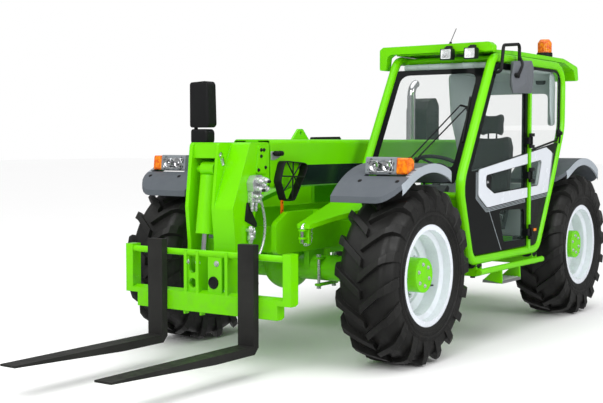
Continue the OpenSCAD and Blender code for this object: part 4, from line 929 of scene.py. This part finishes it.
hoop = {"corners": [(316, 1292), (28, 1270), (205, 1026), (306, 1026), (368, 1160)], "near": 91, "far": 150,
        "thick": 8, "middle": (245, 1165),
        "straps": ((290, 1282, 150, 1104), (130, 1274, 332, 1092), (222, 1280, 236, 1030),
                   (96, 1180, 350, 1192))}
outerHoop = roundedOutline(hoop["corners"], 45, 6)
middle = Vector(hoop["middle"])
spokes = [Vector(point) - middle for point in outerHoop]
innerHoop = [tuple(middle + spoke * (1 - hoop["thick"] / spoke.length)) for spoke in spokes]
guard = addFrame(sideOn, outerHoop, innerHoop, hoop["near"], hoop["far"])
straps = [addTube([(x0, 146, z0), ((x0 + x1) / 2, 150, (z0 + z1) / 2), (x1, 146, z1)], 5)
          for x0, z0, x1, z1 in hoop["straps"]]
wear(roundEdges(guard, 1.5), "hoseGuard", "black", "boom")
wear(joinPieces(straps), "guardStraps", "black", "boom")
tag = addPlate(sideOn, roundedBox(298, 326, 902, 1034, 5), 116, 122)
tagRivets = [addRound((312, 120, z), (312, 123, z), 4.5, sides=16) for z in (926, 966, 1016)]
wear(roundEdges(tag, 1), "orangeTag", "orange", "boom")
wear(joinPieces(tagRivets), "tagRivets", "black", "boom")
rollerLine = [(296, 1352), (296, 1316), (360, 1296), (398, 1296), (398, 1352)]
rollerPlate = addPlate(sideOn, roundedOutline(rollerLine, 8), 90, 97)
wear(roundEdges(rollerPlate, 1.5), "rollerPlate", "steel", "boom")
rollers = []
for x in (318, 364):
    rollers += [addRound((x - 16, 114, 1338), (x + 16, 114, 1338), 17, sides=28),
                addRound((x - 22, 114, 1338), (x + 22, 114, 1338), 8, sides=20),
                addBlock((x - 22, 96, 1332), (x - 18, 120, 1344)),
                addBlock((x + 18, 96, 1332), (x + 22, 120, 1344))]
wear(roundEdges(rollers, 1.5), "rollers", "black", "boom")
topLine = [(-250, 1430), (-262, 1446), (-600, 1450), (-622, 1430)]
topStrip = addPlate(sideOn, roundedOutline(topLine, 8), -46, -18)
wear(roundEdges(topStrip, 3), "topStrip", "black", "boom")

headBolts = [(x, 106, z) for x, z in ((520, 1362), (520, 1322), (474, 1250), (548, 1235), (490, 1362))]
wear(hexHeads(headBolts, (0, 1, 0), 9, 9), "headBolts", "black", "boom_extension")
couplers = []
for x, z, size in ((568, 1176, 20), (624, 1172, 20), (566, 1124, 22), (626, 1122, 20), (597, 1148, 16)):
    couplers += [addRound((x, 140, z), (x, 168, z - 3), size, sides=6),
                 addRound((x, 166, z - 3), (x, 196, z - 8), 0.82 * size, 0.76 * size, 24),
                 addRing((x, 184, z - 6), 0.84 * size, 3.4, (math.pi / 2 + 0.1, 0, 0), (28, 8)),
                 addRound((x, 194, z - 8), (x, 204, z - 10), 0.58 * size, 0.5 * size, 20)]
wear(roundEdges(couplers, 1), "couplers", "zinc", "boom_extension")
caps = [addRound((x, 198, z), (x, 214, z - 3), 12, 9, 20) for x, z in ((568, 1166), (626, 1112))]
lower = {"low": (576, 95.5, 1030), "high": (650, 134, 1099), "stubs": ((594, 118), (634, 120)),
         "ports": ((596, 1076, 17), (632, 1074, 16), (614, 1046, 15))}
lowerBlock = [roundEdges(addBlock(lower["low"], lower["high"]), 5, 3)]
for x, z, size in lower["ports"]:
    lowerBlock += [addRound((x, 130, z), (x, 150, z - 2), size, sides=6),
                   addRound((x, 148, z - 2), (x, 172, z - 6), 0.8 * size, 0.7 * size, 24),
                   addRing((x, 162, z - 4), 0.8 * size, 2.8, (math.pi / 2 + 0.1, 0, 0), (28, 8))]
for x, y in lower["stubs"]:
    lowerBlock += [addRound((x, y, 1034), (x, y, 1008), 14, sides=6),
                   addRound((x, y, 1010), (x, y, 976), 11, 9, 24),
                   addRing((x, y, 994), 11, 3, sides=(24, 8))]
wear(roundEdges(lowerBlock, 0.8), "lowerCouplers", "zinc", "boom_extension")
wear(roundEdges(caps, 2), "couplerCaps", "black", "boom_extension")
slotEnds = Vector((705, 1278)), Vector((728, 1330))  # the oblong hole in the head's plate
slotWay = (slotEnds[1] - slotEnds[0]).normalized() * 17
slotSide = Vector((slotWay.y, -slotWay.x))
slotLine = [slotEnds[0] - slotWay - slotSide, slotEnds[0] - slotWay + slotSide,
            slotEnds[1] + slotWay + slotSide, slotEnds[1] + slotWay - slotSide]
liner = addPlate(sideOn, roundedOutline(slotLine, 15), -74, -60)
insetFaces(liner, leftFace, (4, 0), (2, -5))
nipple = [addRound((725, -68, 1322), (725, -50, 1322), 13, 11, 28),
          addRing((725, -54, 1322), 12, 3, sideways)]
wear(roundEdges(liner, 1), "slotLiner", "zinc", "boom_extension")
wear(joinPieces(nipple), "slotNipple", "chrome", "boom_extension")
flap = addPlate(sideOn, roundedOutline([(662, 1044), (684, 918), (566, 868), (560, 896)], 10), 96.4, 104)
wear(roundEdges(flap, 2), "rubberFlap", "black", "boom_extension")
pipePath = [(572, 118, 1106), (556, 122, 1062), (530, 124, 1000), (508, 124, 930), (500, 122, 850),
            (516, 118, 760), (562, 112, 680), (618, 106, 640), (652, 92, 622)]
pipe = [addTube(pipePath, 9)]
for place, way in (((572, 118, 1112), (556, 122, 1062)), ((652, 94, 622), (622, 106, 638))):
    a, b = Vector(place), Vector(way)
    pipe.append(addRound(a, a.lerp(b, 0.7), 15, sides=6))
wear(roundEdges(pipe, 0.8, 1), "headPipe", "zinc", "boom_extension")
stub = [addRound((650, 120, 776), (650, 120, 884), 14, sides=24),
        addRound((650, 120, 796), (650, 120, 826), 22, sides=6),
        addRound((650, 120, 846), (650, 120, 872), 20, sides=28),
        addRing((650, 120, 836), 17, 4),
        addBlock((630, 96, 852), (670, 124, 868)),
        addRound((610, 112, 806), (610, 112, 872), 11, sides=24),
        addRound((610, 112, 830), (610, 112, 852), 16, sides=6),
        addBlock((596, 96, 848), (624, 116, 862))]
wear(roundEdges(stub, 1.2), "stubCouplers", "zinc", "boom_extension")
print("stage: boom")


# carriage: second centre plate, bolts, plug

face = addPlate(frontOn, roundedBox(-44, 66, 472, 712, 6), 852, 876)
wear(roundEdges(face, 2), "carriagePlate", "lime", "carriage")
carriageBolts = [(876, y, 662) for y in (-209, 28, -122)]
wear(hexHeads(carriageBolts, (1, 0, 0), 14, 14), "carriageBolts", "zinc", "carriage")
plug = addRound((875, 2, 542), (884, 2, 542), 40, 37, 40)
insetFaces(plug, frontFace, (6, 0), (4, -4))
wear(roundEdges(plug, 1.5), "carriagePlug", "black", "carriage")
print("stage: carriage")


# chassis: hitch pin with its chain, axle clamps, step grip, tail lamps, hood latches, screws, cab mounts

pin = {"path": [(445, 372, 772), (445, 372, 850), (445, 372, 884), (409, 376, 892), (327, 384, 890)],
       "collar": (445, 372, 866), "ring": (353, 381, 876), "links": 14,
       "chain": (353, 380, 862), "run": (84, 0, -96), "sag": (0, 20, -34)}
hitch = [addTube(pin["path"], 12), addRing(pin["collar"], 16, 5),
         addRing(pin["ring"], 15, 2.2, (math.pi / 2, 0, 0.2), (24, 8))]
wear(roundEdges(hitch, 1, 1), "hitchPin", "chrome")
links = []
for k in range(pin["links"]):
    t = k / (pin["links"] - 1)
    place = Vector(pin["chain"]) + t * Vector(pin["run"]) + math.sin(math.pi * t) * Vector(pin["sag"])
    links.append(addRing(place, 8, 2, (math.pi / 2, 0, 0.9 if k % 2 else -0.6), (16, 6)))
wear(joinPieces(links), "hitchChain", "zinc")

clamps = []
for x in (-92, 92):
    clamps += [addRound((x, 262, 446), (x, 262, 662), 10, sides=20),
               addRound((x, 262, 440), (x, 262, 458), 17, sides=6),
               addRound((x, 262, 650), (x, 262, 668), 17, sides=6)]
wear(roundEdges(clamps, 1), "axleBolts", "zinc")
saddles = [addBlock((-112, 240, 458), (112, 286, 474)), addBlock((-112, 240, 636), (112, 286, 650))]
# painted shade: the saddles wear the darker lime of the axle
wear(roundEdges(saddles, 5, 3), "axleSaddles", "limeDeep")

grip = {"first": (-1380, 908), "top": 424, "rows": 5, "columns": 11, "pitch": (0.027, 0.029)}
paintFaces("step", "tread", lambda centre, normal: 402 < centre.z < 426 and centre.y > 880)
stud = addRound((*grip["first"], grip["top"] - 1), (*grip["first"], grip["top"] + 5), 9, 6, 12)
studs = []
for row in range(grip["rows"]):
    for column in range(grip["columns"]):
        shift = Matrix.Translation((grip["pitch"][0] * column, grip["pitch"][1] * row, 0))
        studs.append(copyPiece(stud, shift))
bpy.data.objects.remove(stud)
wear(joinPieces(studs), "stepStuds", "tread")

tail = {"back": -3230, "outer": (70, 240), "red": (79, 152), "amber": (158, 231), "low": 735, "high": 825,
        "mirrorAt": -60}
tailLine = roundedBox(*tail["outer"], tail["low"], tail["high"], 14)
tailShell = addPlate(frontOn, tailLine, tail["back"] + 1, tail["back"] - 20)
insetFaces(tailShell, rearFace, (6, 0), (2, -4))
panes = []
for tone in ("red", "amber"):
    outline = roundedBox(*tail[tone], tail["low"] + 9, tail["high"] - 9, 8)
    panes.append(addPlate(frontOn, outline, tail["back"] - 14, tail["back"] - 24))
flipY = Matrix.Scale(-1, 4, (0, 1, 0))
acrossBoom = Matrix.Translation((0, 2 * tail["mirrorAt"] / 1000, 0)) @ flipY
tailSet = [(tailShell, "tailShell", "black"), (panes[0], "tailRed", "red"), (panes[1], "tailAmber", "amber")]
for piece, name, tone in tailSet:
    roundEdges(piece, 1.5)
    wear(copyPiece(piece, acrossBoom), name + "_right", tone)
    wear(piece, name + "_left", tone)

for number, x in enumerate((-768, -1852)):  # on the plain ends of the hood's upright side
    plate = addPlate(sideOn, roundedBox(x - 62, x + 62, 896, 944, 12), -984, -991)
    insetFaces(plate, rightFace, (6, 0), (3, -4))
    lever = addPlate(sideOn, roundedBox(x - 44, x + 30, 908, 932, 9), -986, -994)
    wear(roundEdges([plate, lever], 1.5), "hoodLatch_%d" % number, "black", "engine_hood")


def onTop(name, x, y):  # the point and slope of a node's top below (x, y)
    place, normal = nodes[name].ray_cast(spot(x, y, 2000), Vector((0, 0, -1)))[1:3]
    return 1000 * (place - spot(0, 0, 0)), normal


for name, x in (("front_mudguards", 345), ("rear_mudguards", -2955)):
    screws = []
    for y in (-1000, -735, 735, 1000):
        place, normal = onTop(name, x, y)
        screws += [addRound(place - normal, place + 2 * normal, 14, sides=20),
                   addRound(place + normal, place + 7 * normal, 9, 6, 20)]
    wear(roundEdges(screws, 0.8, 1), name + "Screws", "black")
mounts = []
for x in (-800, -1760):
    mounts += [addRound((x, 950, 552), (x, 950, 572), 64, 60, 40),
               addRound((x, 950, 540), (x, 950, 554), 50, 60, 40),
               addRound((x, 950, 470), (x, 950, 486), 20, sides=6)]
wear(roundEdges(mounts, 3), "cabMounts", "black")

for name in ("front_mudguards", "rear_mudguards"):
    paintFaces(name, "guardEdge", lambda centre, normal: abs(centre.y) > 1046)
paintFaces("cab_frame", "black", lambda centre, normal: centre.y > 1019 and -1645 < centre.x < -1570)
print("stage: small fittings")
